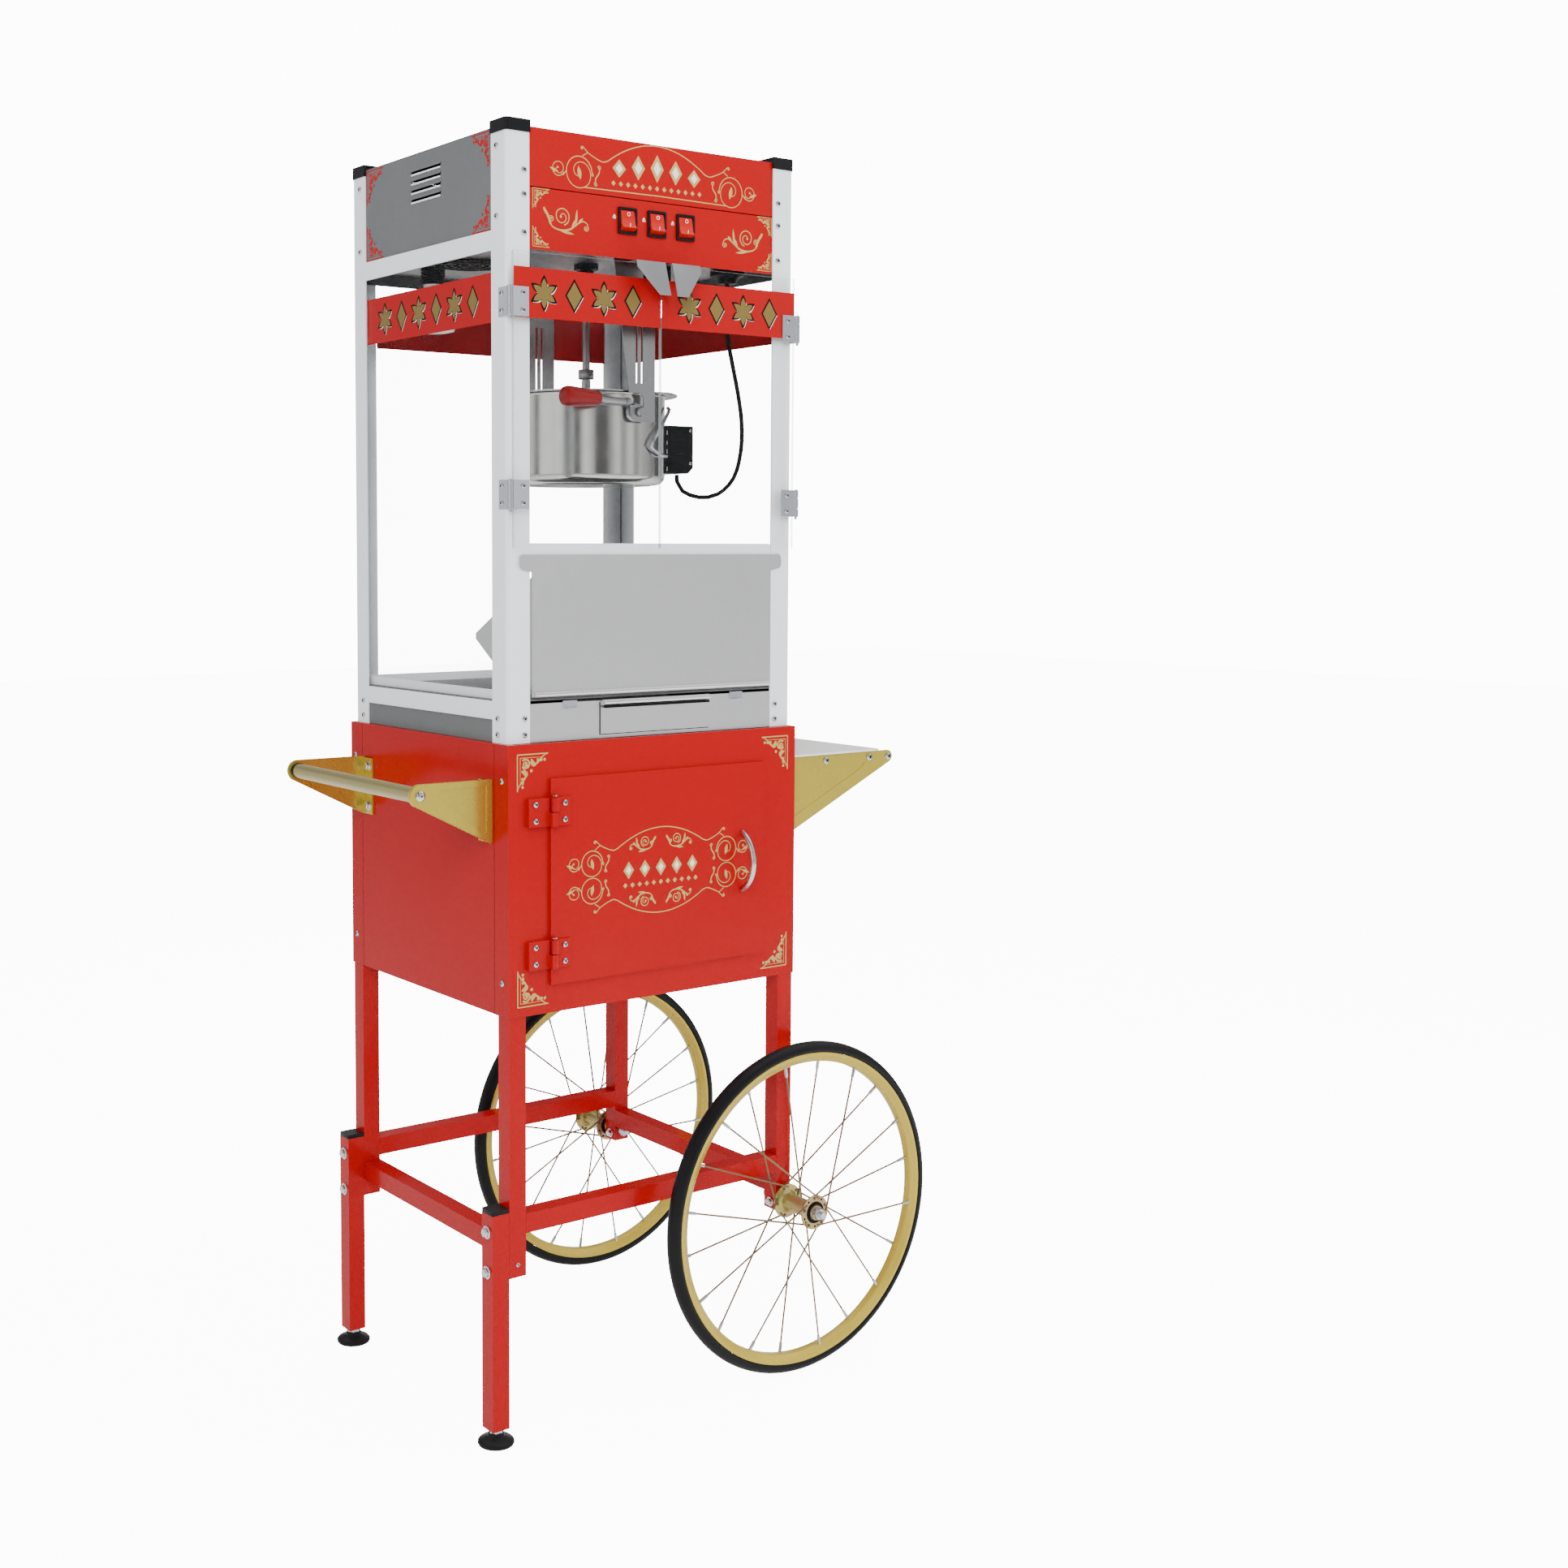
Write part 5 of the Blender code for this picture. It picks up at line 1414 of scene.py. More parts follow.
@dataclass
class SpokedWheel:
    """One wheel: painted rim, rubber tyre, plated hub, crossed spokes and axle.

    Attributes:
        side: front or back.
    """

    side: str

    def build(self) -> None:
        """Make the fine wheel in the place of the model's plain one."""
        sign = -1 if self.side == "front" else 1
        low, high = cart_box(self.side + "_tyre")
        centre = ((low.x + high.x) / 2, (low.z + high.z) / 2)
        outer, y = (high.z - low.z) / 2, (low.y + high.y) / 2
        self._tyre(centre, outer, y, high.y - low.y)
        self._rim(centre, outer - 0.014, y)
        self._hub_and_spokes(centre, outer - 0.027, y)
        self._axle(centre, sign)

    def _tyre(self, centre: Point2, outer: float, y: float, width: float) -> None:
        """Solid round tyre.

        Args:
            centre: Wheel centre as x, z.
            outer: Outer radius.
            y: Middle plane of the wheel.
            width: Tyre width.
        """
        half, crown = width / 2, 0.0105
        profile = [(outer - crown + crown * math.cos(t), y + half * math.sin(t))
                   for t in (math.radians(-100 + 200 * i / 18) for i in range(19))]
        profile += [(outer - 0.0137, y + half * 0.80), (outer - 0.0137, y - half * 0.80)]
        tyre = Draft().use(Finish.RUBBER)
        tyre.turned("y", centre, profile, 128)
        tyre.place(self.side + "_tyre_fine", self.side + "_wheel", [self.side + "_tyre"], angle=60)

    def _rim(self, centre: Point2, outer: float, y: float) -> None:
        """Channel rim with rolled edges.

        Args:
            centre: Wheel centre as x, z.
            outer: Radius under the tyre.
            y: Middle plane of the wheel.
        """
        bed = outer - 0.013
        half = [(outer, 0.0096), (outer - 0.002, 0.0100), (outer - 0.0042, 0.0096), (outer - 0.0056, 0.0082),
                (bed + 0.0012, 0.0066), (bed, 0.0052)]
        profile = [(r, y - out) for r, out in half] + [(r, y + out) for r, out in reversed(half)]
        rim = Draft().use(Finish.RIM_PAINT)
        rim.turned("y", centre, profile, 128)
        rim.place(self.side + "_rim_fine", self.side + "_wheel", angle=50)

    def _hub_and_spokes(self, centre: Point2, bed: float, y: float) -> None:
        """Flanged hub, crossed spokes with bent ends, and their nipples.

        Args:
            centre: Wheel centre as x, z.
            bed: Inner radius of the rim.
            y: Middle plane of the wheel.
        """
        hub = Draft().use(Finish.RAINBOW_ZINC)
        flange, offset = 0.0235, 0.028
        profile = [(0.0055, y - 0.0335), (0.0095, y - 0.0335), (0.0102, y - 0.0325), (0.0102, y - offset - 0.0022),
                   (0.0125, y - offset - 0.0012), (flange, y - offset - 0.0010), (flange, y - offset + 0.0010),
                   (0.0160, y - offset + 0.0012), (0.0128, y - offset + 0.0040), (0.0118, y - offset + 0.010),
                   (0.0118, y + offset - 0.010), (0.0128, y + offset - 0.0040), (0.0160, y + offset - 0.0012),
                   (flange, y + offset - 0.0010), (flange, y + offset + 0.0010), (0.0125, y + offset + 0.0012),
                   (0.0102, y + offset + 0.0022), (0.0102, y + 0.0325), (0.0095, y + 0.0335), (0.0055, y + 0.0335)]
        hub.turned("y", centre, profile, 48)
        count = 10
        for face in (-1, 1):
            for k in range(count):
                turn = math.tau * (k + 0.25 * face) / count
                crossing = 1 if k % 2 else -1
                lean = 1.15 * crossing
                root_r = flange - 0.004
                side = crossing * 0.0017
                root = Vector((centre[0] + root_r * math.cos(turn + lean), y + face * offset + side,
                               centre[1] + root_r * math.sin(turn + lean)))
                end = Vector((centre[0] + (bed + 0.001) * math.cos(turn), y + face * 0.0035 + crossing * 0.0016,
                              centre[1] + (bed + 0.001) * math.sin(turn)))
                hub.use(Finish.SPOKE_ZINC)
                elbow = root + Vector((0.0, -2.0 * side, 0.0))
                hub.tube([elbow, root, root.lerp(end, 0.012), end], 0.0013, 8)
                hub.facing(elbow, (0, -crossing, 0), [(0.0019, 0.0), (0.0017, 0.0008), (0.0008, 0.0012)], 12)
                hub.use(Finish.BRIGHT_ZINC)
                hub.tube([end.lerp(root, 0.075), end.lerp(root, 0.065), end], [0.0015, 0.0022, 0.0023], 8)
        # Near-black ring round each hub bore, and dark dots on each flange that paint the shade in its spoke holes.
        hub.use(Finish.SHADOW)
        for face in (-1, 1):
            dark_ring = [(0.0150, 0.0), (0.0146, 0.0012), (0.0098, 0.0012)]
            hub.facing((centre[0], y + face * 0.0291, centre[1]), (0, face, 0), dark_ring, 32)
            for k in range(count):
                turn = math.tau * (k + 0.5) / count
                spot = (centre[0] + 0.0195 * math.cos(turn), y + face * (offset + 0.0011),
                        centre[1] + 0.0195 * math.sin(turn))
                hub.facing(spot, (0, face, 0), [(0.0017, 0.0), (0.0015, 0.00005)], 12)
        hub.place(self.side + "_hub_fine", self.side + "_wheel", [self.side + "_wheel"])

    def _axle(self, centre: Point2, sign: int) -> None:
        """Axle with its nuts, washer and threaded end.

        Args:
            centre: Wheel centre as x, z.
            sign: -1 at the front, 1 at the back.
        """
        low, high = cart_box(self.side + "_axle")
        end = low.y if sign < 0 else high.y
        axle = Draft().use(Finish.BRIGHT_ZINC)
        near = end - sign * 0.1130

        def level(value: float) -> float:
            """Find a place along the axle.

            Args:
                value: Distance in from the axle's outer end.

            Returns:
                Its place along y.
            """
            return end - sign * value

        rod = [(0.0, level(0.0)), (0.0042, level(0.0)), (0.0048, level(0.0008)), (0.0048, near), (0.0, near)]
        axle.turned("y", centre, rod, 28)
        axle.turned("y", centre, [(0.0, level(0.0060)), (0.0075, level(0.0060)), (0.0084, level(0.0070)),
                                  (0.0084, level(0.0118)), (0.0, level(0.0118))], 6)
        for a, b in ((level(0.0119), level(0.0125)), (level(0.0805), level(0.0833))):
            axle.turned("y", centre, [(0.0, a), (0.0084, a), (0.0084, b), (0.0, b)], 32)
        inner = [(0.0, 0.1093), (0.0078, 0.1093), (0.0078, 0.1150), (0.0060, 0.1188), (0.0030, 0.1210), (0.0, 0.1215)]
        axle.turned("y", centre, [(r, level(v)) for r, v in inner], 24)
        axle.place(self.side + "_axle_fine", "cart", [self.side + "_axle"])


# ---------------------------------------------------------------- machine

@dataclass
class Case:
    """Glass case: corner extrusions, caps, panes, base, housing, switches and prints."""

    cap_height: float = 0.0130
    cap_proud: float = 0.0015

    def build(self) -> None:
        """Dress the case and add its trim."""
        posts = ["corner_post_" + place for place in ("front_left", "front_right", "back_left", "back_right")]
        dress(Finish.SILVER, *posts, "front_rail", bevel=0.0005)
        dress(Finish.GREY_SHEET, "base_pan", "housing_wrap")
        dress(Finish.SATIN_SHEET, "kick_panel", "tilt_panel", "crumb_drawer")
        dress(Finish.STEEL, "ceiling_plate", "gear_motor")
        dress(Finish.RED_PAINT, "switch_panel", "roof_cover", bevel=0.0005)
        dress(Finish.CLEAR_GLASS, "left_glass", "right_glass", "back_glass")
        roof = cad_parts["roof_cover"].data
        roof.materials.append(PAINTSHOP.material(Finish.GREY_SHEET))
        fascia_back = cart_box("roof_cover")[0].y + 0.0030
        for face in roof.polygons:
            if face.center.y - CART_MIDDLE.y > fascia_back:
                face.material_index = 1
        self._caps()
        self._rails()
        self._post_screws()
        self._louvres()
        self._switches()
        self._hooks()
        self._deck_edge()
        self._banners()
        self._prints()

    def _caps(self) -> None:
        """Black caps that wrap the tops of the corner posts."""
        caps = Draft().use(Finish.BLACK_PLASTIC)
        corners = (("front_left", -1, -1), ("front_right", 1, -1), ("back_left", -1, 1), ("back_right", 1, 1))
        leg, wall = 0.0365, 0.0034
        bend = [(leg, 0.0)] + arc((0.006, 0.006), 0.006, 270, 180, 6) + [(0.0, leg)]
        for place, sx, sy in corners:
            low, high = cart_box("corner_post_" + place)
            edge_x = (low.x if sx < 0 else high.x) + sx * self.cap_proud
            edge_y = (low.y if sy < 0 else high.y) + sy * self.cap_proud
            shapes = ((bend + [(wall, leg), (wall, wall), (leg, wall)], -self.cap_height, 0.0004),
                      (bend + [(leg, leg)], 0.0002, 0.0022))
            for outline, bottom, top in shapes:
                placed = [(edge_x - sx * a, edge_y - sy * b) for a, b in outline]
                caps.plate("z", high.z + bottom, high.z + top, placed)
        caps.place("post_caps", "cart", bevel=0.0007)

    def _rails(self) -> None:
        """Silver rails along the top and bottom of the side and back panes."""
        rails = Draft().use(Finish.SILVER)
        for zs in (LOW_RAIL, HIGH_RAIL):
            for sign in (-1, 1):
                rails.block((sign * 0.2284, sign * 0.2291), (-0.1612, 0.1612), zs)
            rails.block((-0.1950, 0.1950), (0.1946, 0.1953), zs)
        rails.place("pane_rails", "cart", bevel=0.0004)

    def _post_screws(self) -> None:
        """Round screws in the faces of the corner posts."""
        screws = Draft().use(Finish.CHROME)
        low = cart_box("corner_post_front_left")[0]
        right = cart_box("corner_post_front_right")[1].x
        back = cart_box("corner_post_back_left")[1].y
        for x in (-0.2035, 0.2035):
            for z in (1.5915, 1.562, 1.516, 0.919, 0.899):
                screws.screw((x, low.y, z), (0, -1, 0), 0.0039)
                screws.screw((x, back, z), (0, 1, 0), 0.0034)
        for face, out in ((low.x, -1), (right, 1)):
            for y in (-0.1745, 0.1745):
                for z in (1.621, 1.536, 0.919, 0.899):
                    screws.screw((face, y, z), (out, 0, 0), 0.0039)
        screws.place("post_screws", "cart")

    def _louvres(self) -> None:
        """Pressed lips over the vent slots, each with a silver strip under it that paints the highlight on the slot's
        lower lip.
        """
        lips = Draft().use(Finish.GREY_SHEET)
        levels = [1.5855 + 0.012 * i for i in range(4)]
        for z in levels:
            section = [(0.0, z + 0.0045), (0.0022, z + 0.0010), (0.0020, z + 0.0002), (0.0, z + 0.0028)]
            for sign in (-1, 1):
                side = [(sign * (0.2270 + a), b) for a, b in section]
                lips.plate("y", -0.0380, 0.0380, side)
            lips.plate("x", -0.0380, 0.0380, [(0.1932 + a, b) for a, b in section])
        # Silver strips below the slots: painted highlight, standing for the light caught by each slot's lower lip.
        lips.use(Finish.SILVER)
        for z in levels:
            zs = (z - 0.0046, z - 0.0024)
            for sign in (-1, 1):
                lips.block((sign * 0.2268, sign * 0.2283), (-0.0365, 0.0365), zs)
            lips.block((-0.0365, 0.0365), (0.1930, 0.1945), zs)
        lips.place("vent_lips_and_highlights", "cart", bevel=0.0003)

    def _switches(self) -> None:
        """Bezels, rockers and their marks."""
        bezels = Draft().use(Finish.BLACK_PLASTIC)
        pips = Draft().use(Finish.WHITE_PRINT)
        face = cart_box("switch_panel")[0].y
        for name in ("rocker_left", "rocker_middle", "rocker_right"):
            low, high = cart_box(name)
            x, z = (low.x + high.x) / 2, (low.z + high.z) / 2
            outer = rounded(x - 0.0144, x + 0.0144, z - 0.0168, z + 0.0168, 0.0018)
            inner = rounded(x - 0.0114, x + 0.0114, z - 0.0139, z + 0.0139, 0.0008)
            bezels.plate("y", face - 0.0026, face - 0.0001, outer, [inner])
            well = rounded(x - 0.0119, x + 0.0119, z - 0.0144, z + 0.0144, 0.0008)
            bezels.plate("y", face - 0.0006, face + 0.0090, well, [inner])
            rocker = Draft().use(Finish.RED_SWITCH)
            section = [(face + 0.0010, high.z), (face - 0.0012, high.z), (face - 0.0030, z + 0.004),
                       (face - 0.0040, z - 0.004), (face - 0.0060, z - 0.0070), (face - 0.0075, low.z + 0.0045),
                       (face - 0.0020, low.z + 0.0009), (face + 0.0010, low.z + 0.0002)]
            rocker.plate("x", low.x, high.x, section)
            rocker.use(Finish.WHITE_PRINT)
            upper = Plane((x, face - 0.0034, z + 0.0036), (1, 0, 0), (0, 0, 1), (0, -1, 0))
            ring = arc((0.0, 0.0045), 0.0022, 0, 360, 20)
            Scrollwork(upper, rocker, proud=0.0006).ribbon(ring, 0.0007, 0.0007)
            lower = Plane((x, face - 0.0066, z - 0.0055), (1, 0, 0), (0, -0.28, 0.96), (0, -0.96, -0.28))
            Scrollwork(lower, rocker, proud=0.0009).ribbon([(0.0, -0.0024), (0.0, 0.0022)], 0.0008, 0.0008)
            rocker.place(name + "_fine", name, [name], bevel=0.0004)
            ground = front_ground((x - 0.0200, face, z))
            mark = Scrollwork(ground, pips)
            mark.dot((0.0, 0.0050), 0.0016)
            mark.ribbon([(-0.0022, 0.0020), (0.0022, 0.0020)], 0.0006, 0.0006)
            mark.ribbon(arc((0.0, 0.0050), 0.0028, 200, 340, 10), 0.0005, 0.0005)
        bezels.place("switch_bezels", "cart", bevel=0.0004)
        pips.place("switch_marks", "cart")

    def _hooks(self) -> None:
        """Strips of painted shade in the gaps beside the tilt panel, round the drawer and behind the roof seam, a
        strip of painted shade in the drawer's grip, two latch tabs and the magnet catch between the doors.
        """
        # Near-black strips behind gaps: painted shade where the dark inside shows through.
        gap_shade = Draft().use(Finish.SHADOW)
        for sign in (-1, 1):
            gap_shade.block((sign * 0.1937, sign * 0.1950), (-0.1930, -0.1915), (0.9470, 1.1040))
            gap_shade.block((sign * 0.0881, sign * 0.0891), (-0.1952, -0.1949), (0.8930, 0.9350))
        gap_shade.block((-0.1900, 0.1900), (-0.1912, -0.1902), (1.5680, 1.5790))
        gap_shade.block((-0.0891, 0.0891), (-0.1952, -0.1949), (0.8928, 0.8938))
        gap_shade.place("painted_gap_shade", "cart")
        # Near-black strip in the drawer's curled grip: painted shade of the finger recess.
        slot = Draft().use(Finish.SHADOW)
        drawer = cart_box("crumb_drawer")[0].y
        slot.block((-0.0850, 0.0850), (drawer + 0.0008, drawer + 0.0040), (0.9275, 0.9305))
        slot.place("drawer_grip_painted_shade", "crumb_drawer")
        tabs = Draft().use(Finish.BRIGHT_ZINC)
        face = cart_box("kick_panel")[0].y
        for x in (-0.135, 0.1355):
            tabs.block((x - 0.0110, x + 0.0110), (face - 0.0008, face - 0.0001), (0.9290, 0.9392))
            tabs.block((x - 0.0070, x + 0.0110), (face - 0.0060, face - 0.0008), (0.9290, 0.9300))
        tabs.place("latch_tabs", "cart", bevel=0.0003)
        catch = Draft().use(Finish.BLACK_PLASTIC)
        catch.block((-0.0200, 0.0200), (-0.2000, -0.1935), (1.4740, 1.4965))
        catch.use(Finish.CHROME)
        catch.screw((0.0, -0.2000, 1.4850), (0, -1, 0), 0.0026)
        catch.place("magnet_catch", "cart", bevel=0.0008)

    def _deck_edge(self) -> None:
        """Silver inner rail round the deck that holds the panes' lower edges."""
        deck = cart_box("base_pan")[1].z
        zs = (deck + 0.0002, deck + 0.0120)
        edge = Draft().use(Finish.SILVER)
        for sign in (-1, 1):
            edge.block((sign * 0.2200, sign * 0.2213), (-0.1900, 0.1860), zs)
        edge.block((-0.2195, 0.2195), (0.1858, 0.1870), zs)
        edge.place("pane_channel", "cart", bevel=0.0003)

    @staticmethod
    def _band(draft: Draft, plane: Plane, width: float, height: float) -> None:
        """Row of outlined diamonds and stars on a banner.

        Args:
            draft: Piece that takes the prints.
            plane: Ground, with its origin in the banner's middle.
            width: Banner width.
            height: Banner height.
        """
        pitch = height * 0.74
        count = int((width - height * 0.3) / pitch)
        layers = ((Finish.WHITE_PRINT, 0.00010, 0.0012, -0.0014, 1.00), (Finish.SHADOW, 0.00016, 0.0, 0.0, 1.10),
                  (Finish.OLIVE_PRINT, 0.00022, 0.0, 0.0, 0.90))
        for finish, proud, dx, dy, grow in layers:
            draft.use(finish)
            for i in range(count):
                x = (i - (count - 1) / 2) * pitch + dx
                work = Scrollwork(plane, draft, proud=proud, centre=(x, dy), size=height * 0.33 * grow)
                if i % 2:
                    work.diamond((0.0, 0.0), 0.62, 0.95)
                else:
                    for heading in range(0, 360, 60):
                        work.leaf((0.0, 0.0), heading + 30, 1.0, 0.46)
                    work.dot((0.0, 0.0), 0.34)

    def _banners(self) -> None:
        """Red bands with a row of ornaments on the doors, side panes and back pane."""
        for sign, body in ((-1, "glass_door_left"), (1, "glass_door_right")):
            xs = sorted((sign * 0.0009, sign * 0.2250))
            band = Draft().use(Finish.BANNER_RED)
            band.block(xs, (-0.2057, -0.2060), (1.4120, 1.4730))
            plane = front_ground(((xs[0] + xs[1]) / 2, -0.2060, 1.4425))
            self._band(band, plane, xs[1] - xs[0], 0.061)
            band.place(body + "_banner", body)
        sides = Draft().use(Finish.BANNER_RED)
        pane = -cart_box("left_glass")[0].x
        zs, level = (1.4090, 1.4700), 1.4395
        for sign in (-1, 1):
            sides.use(Finish.BANNER_RED)
            sides.block((sign * pane, sign * (pane + GAP)), (-0.1620, 0.1620), zs)
            plane = Plane((sign * (pane + GAP), 0.0, level), (0, sign, 0), (0, 0, 1), (sign, 0, 0))
            self._band(sides, plane, 0.320, 0.061)
        back = cart_box("back_glass")[1].y
        sides.use(Finish.BANNER_RED)
        sides.block((-0.1950, 0.1950), (back, back + GAP), zs)
        self._band(sides, Plane((0.0, back + GAP, level), (-1, 0, 0), (0, 0, 1), (0, 1, 0)), 0.385, 0.061)
        sides.place("pane_banners", "cart")

    def _prints(self) -> None:
        """Gold scrolls on the fascia and switch panel, red corner scrolls on the housing."""
        face = cart_box("roof_cover")[0].y
        front = front_ground((0.0, face, 0.0))
        printed("fascia_scrolls", "cart", Finish.GOLD_PRINT, lambda draft: self._fascia(draft, front))
        panel = front_ground((0.0, cart_box("switch_panel")[0].y, 0.0))

        def switch_scrolls(draft: Draft) -> None:
            """Print the scrolls on the switch panel.

            Args:
                draft: Draft that takes the print.
            """
            for x, flip, spray in ((-0.1890, 1, -0.1450), (0.1940, -1, 0.1500)):
                for z, turn in ((1.5010, 1), (1.5715, -1)):
                    Scrollwork(panel, draft, flip=flip, turn=turn, centre=(x, z)).corner(0.025)
                Scrollwork(panel, draft, flip=flip, centre=(spray, 1.5385)).flourish(0.0013)

        printed("switch_panel_scrolls", "cart", Finish.GOLD_PRINT, switch_scrolls)

        def housing_scrolls(draft: Draft) -> None:
            """Print the scrolls on the housing.

            Args:
                draft: Draft that takes the print.
            """
            wide = cart_box("housing_wrap")[1].x - 0.0016
            for sign in (-1, 1):
                side = Plane((sign * wide, 0.0, 0.0), (0, 1, 0), (0, 0, 1), (sign, 0, 0))
                for y, flip in ((-0.1590, 1), (0.1590, -1)):
                    for z, turn in ((1.5225, 1), (1.6420, -1)):
                        Scrollwork(side, draft, flip=flip, turn=turn, centre=(y, z)).corner(0.046)

        printed("housing_corner_scrolls", "cart", Finish.RED_PAINT, housing_scrolls)

    @staticmethod
    def _fascia(draft: Draft, plane: Plane) -> None:
        """Arched scroll frame on the fascia round a row of ornaments.

        Args:
            draft: Piece that takes the print.
            plane: Ground of the print.
        """
        level = 1.6060
        for flip in (-1, 1):
            work = Scrollwork(plane, draft, flip=flip, centre=(0.002, level))
            work.ribbon(parabola(0.078, 0.0375, 0.0275), FRAME_LINE, FRAME_LINE)
            work.wing((0.078, 0.0100), (0.1160, 0.0240), (0.1215, -0.0080), 0.0195, (0.1530, -0.0070), FRAME_LINE)
            work.ribbon([(0.0, -0.0250), (0.1130, -0.0260)], FRAME_LINE, FRAME_LINE)
        row = ((-0.060, 0.0115), (-0.030, 0.0155), (0.0, 0.0175), (0.030, 0.0155), (0.060, 0.0115))
        work = Scrollwork(plane, draft, centre=(0.002, level))
        for x, half in row:
            work.diamond((x, half - 0.0085), 0.0105, half)
        for k in range(-6, 7):
            work.diamond((k * BEAD_PITCH, BEAD_LEVEL), 0.0034, BEAD_TALL)
        draft.use(Finish.WHITE_PRINT)
        bright = Scrollwork(plane, draft, proud=DECAL * 1.5, centre=(0.002, level))
        for x, half in row:
            bright.diamond((x, half - 0.0085), 0.0058, half * 0.55)


@dataclass
class GlassDoor:
    """Hinged glass door leaf: pane, steel pull and two screwed hinges.

    Attributes:
        sign: -1 for the left door, 1 for the right one.
        heights: Middle heights of its hinges.
    """

    sign: int
    heights: tuple[float, float]

    @property
    def body(self) -> str:
        """Name of the door's body and node."""
        return "glass_door_left" if self.sign < 0 else "glass_door_right"

    def build(self) -> None:
        """Make the fine door in the place of the model's plain one."""
        low, high = cart_box(self.body)
        pane = Draft().use(Finish.CLEAR_GLASS)
        pane_ys = (-0.2056, -0.2016)
        top = high.z - 0.0010
        pane.block((low.x, high.x), pane_ys, (low.z, top))
        pane.use(Finish.GLASS_EDGE)
        pane.mesh.normal_update()
        for face in pane.mesh.faces:
            if abs(face.normal.y) < 0.5:
                face.material_index = pane.ink
        pane.place(self.body + "_pane", self.body, [self.body], bevel=0.0004)
        self._pull(high.z)
        self._hinges()

    def _pull(self, top: float) -> None:
        """Folded steel pull hooked over the pane's top edge.

        Args:
            top: Height of its top.
        """
        near, far, bottom = 0.0050, 0.0510, 1.450
        pull = Draft().use(Finish.STEEL)
        front, flare = -0.2056 - 0.0145, 0.29
        outline = [(near, top), (far, top), (far, top - 0.009), (far - 0.028, bottom), (near, bottom)]
        count = len(pull.mesh.verts)
        pull.plate("y", front - 0.0012, front, [(self.sign * x, z) for x, z in outline])
        pull.mesh.verts.ensure_lookup_table()
        for corner in pull.mesh.verts[count:]:
            corner.co.y -= (top - corner.co.z) * flare
        pull.block((self.sign * near, self.sign * far), (front - 0.0004, -0.2026), (top - 0.0012, top))
        pull.place(self.body + "_pull", self.body, bevel=0.0004)

    def _hinges(self) -> None:
        """Fixed leaf on the post's side, knuckle, pin, and moving leaf on the pane."""
        fixed, moving = Draft().use(Finish.BRIGHT_ZINC), Draft().use(Finish.BRIGHT_ZINC)
        side = self.sign * 0.2295
        pin = (self.sign * 0.2300, -0.2060)
        for middle in self.heights:
            zs = (middle - 0.018, middle + 0.018)
            fixed.block((side, side + self.sign * 0.0011), (-0.2030, -0.1795), zs)
            foot, head = zs[0] - 0.0035, zs[1] + 0.001
            fixed.turned("z", pin, [(0.0, foot), (0.0018, foot), (0.0018, head), (0.0, head)], 16)
            for part, (a, b) in ((fixed, (0.0, 0.30)), (moving, (0.31, 0.69)), (fixed, (0.70, 1.0))):
                lower, upper = (zs[0] + share * (zs[1] - zs[0]) for share in (a, b))
                part.turned("z", pin, [(0.0020, lower), (0.0036, lower), (0.0036, upper), (0.0020, upper)], 24)
            moving.block((self.sign * 0.2275, self.sign * 0.2035), (-0.2062, -0.2074), zs)
            for dz in (-0.0105, 0.0105):
                fixed.screw((side + self.sign * 0.0011, -0.1870, middle + dz), (self.sign, 0, 0), 0.0034)
                moving.screw((self.sign * 0.2125, -0.2074, middle + dz), (0, -1, 0), 0.0034)
        fixed.place(self.body + "_hinge_posts", "cart", bevel=0.0003)
        moving.place(self.body + "_hinge_leaves", self.body, bevel=0.0003)


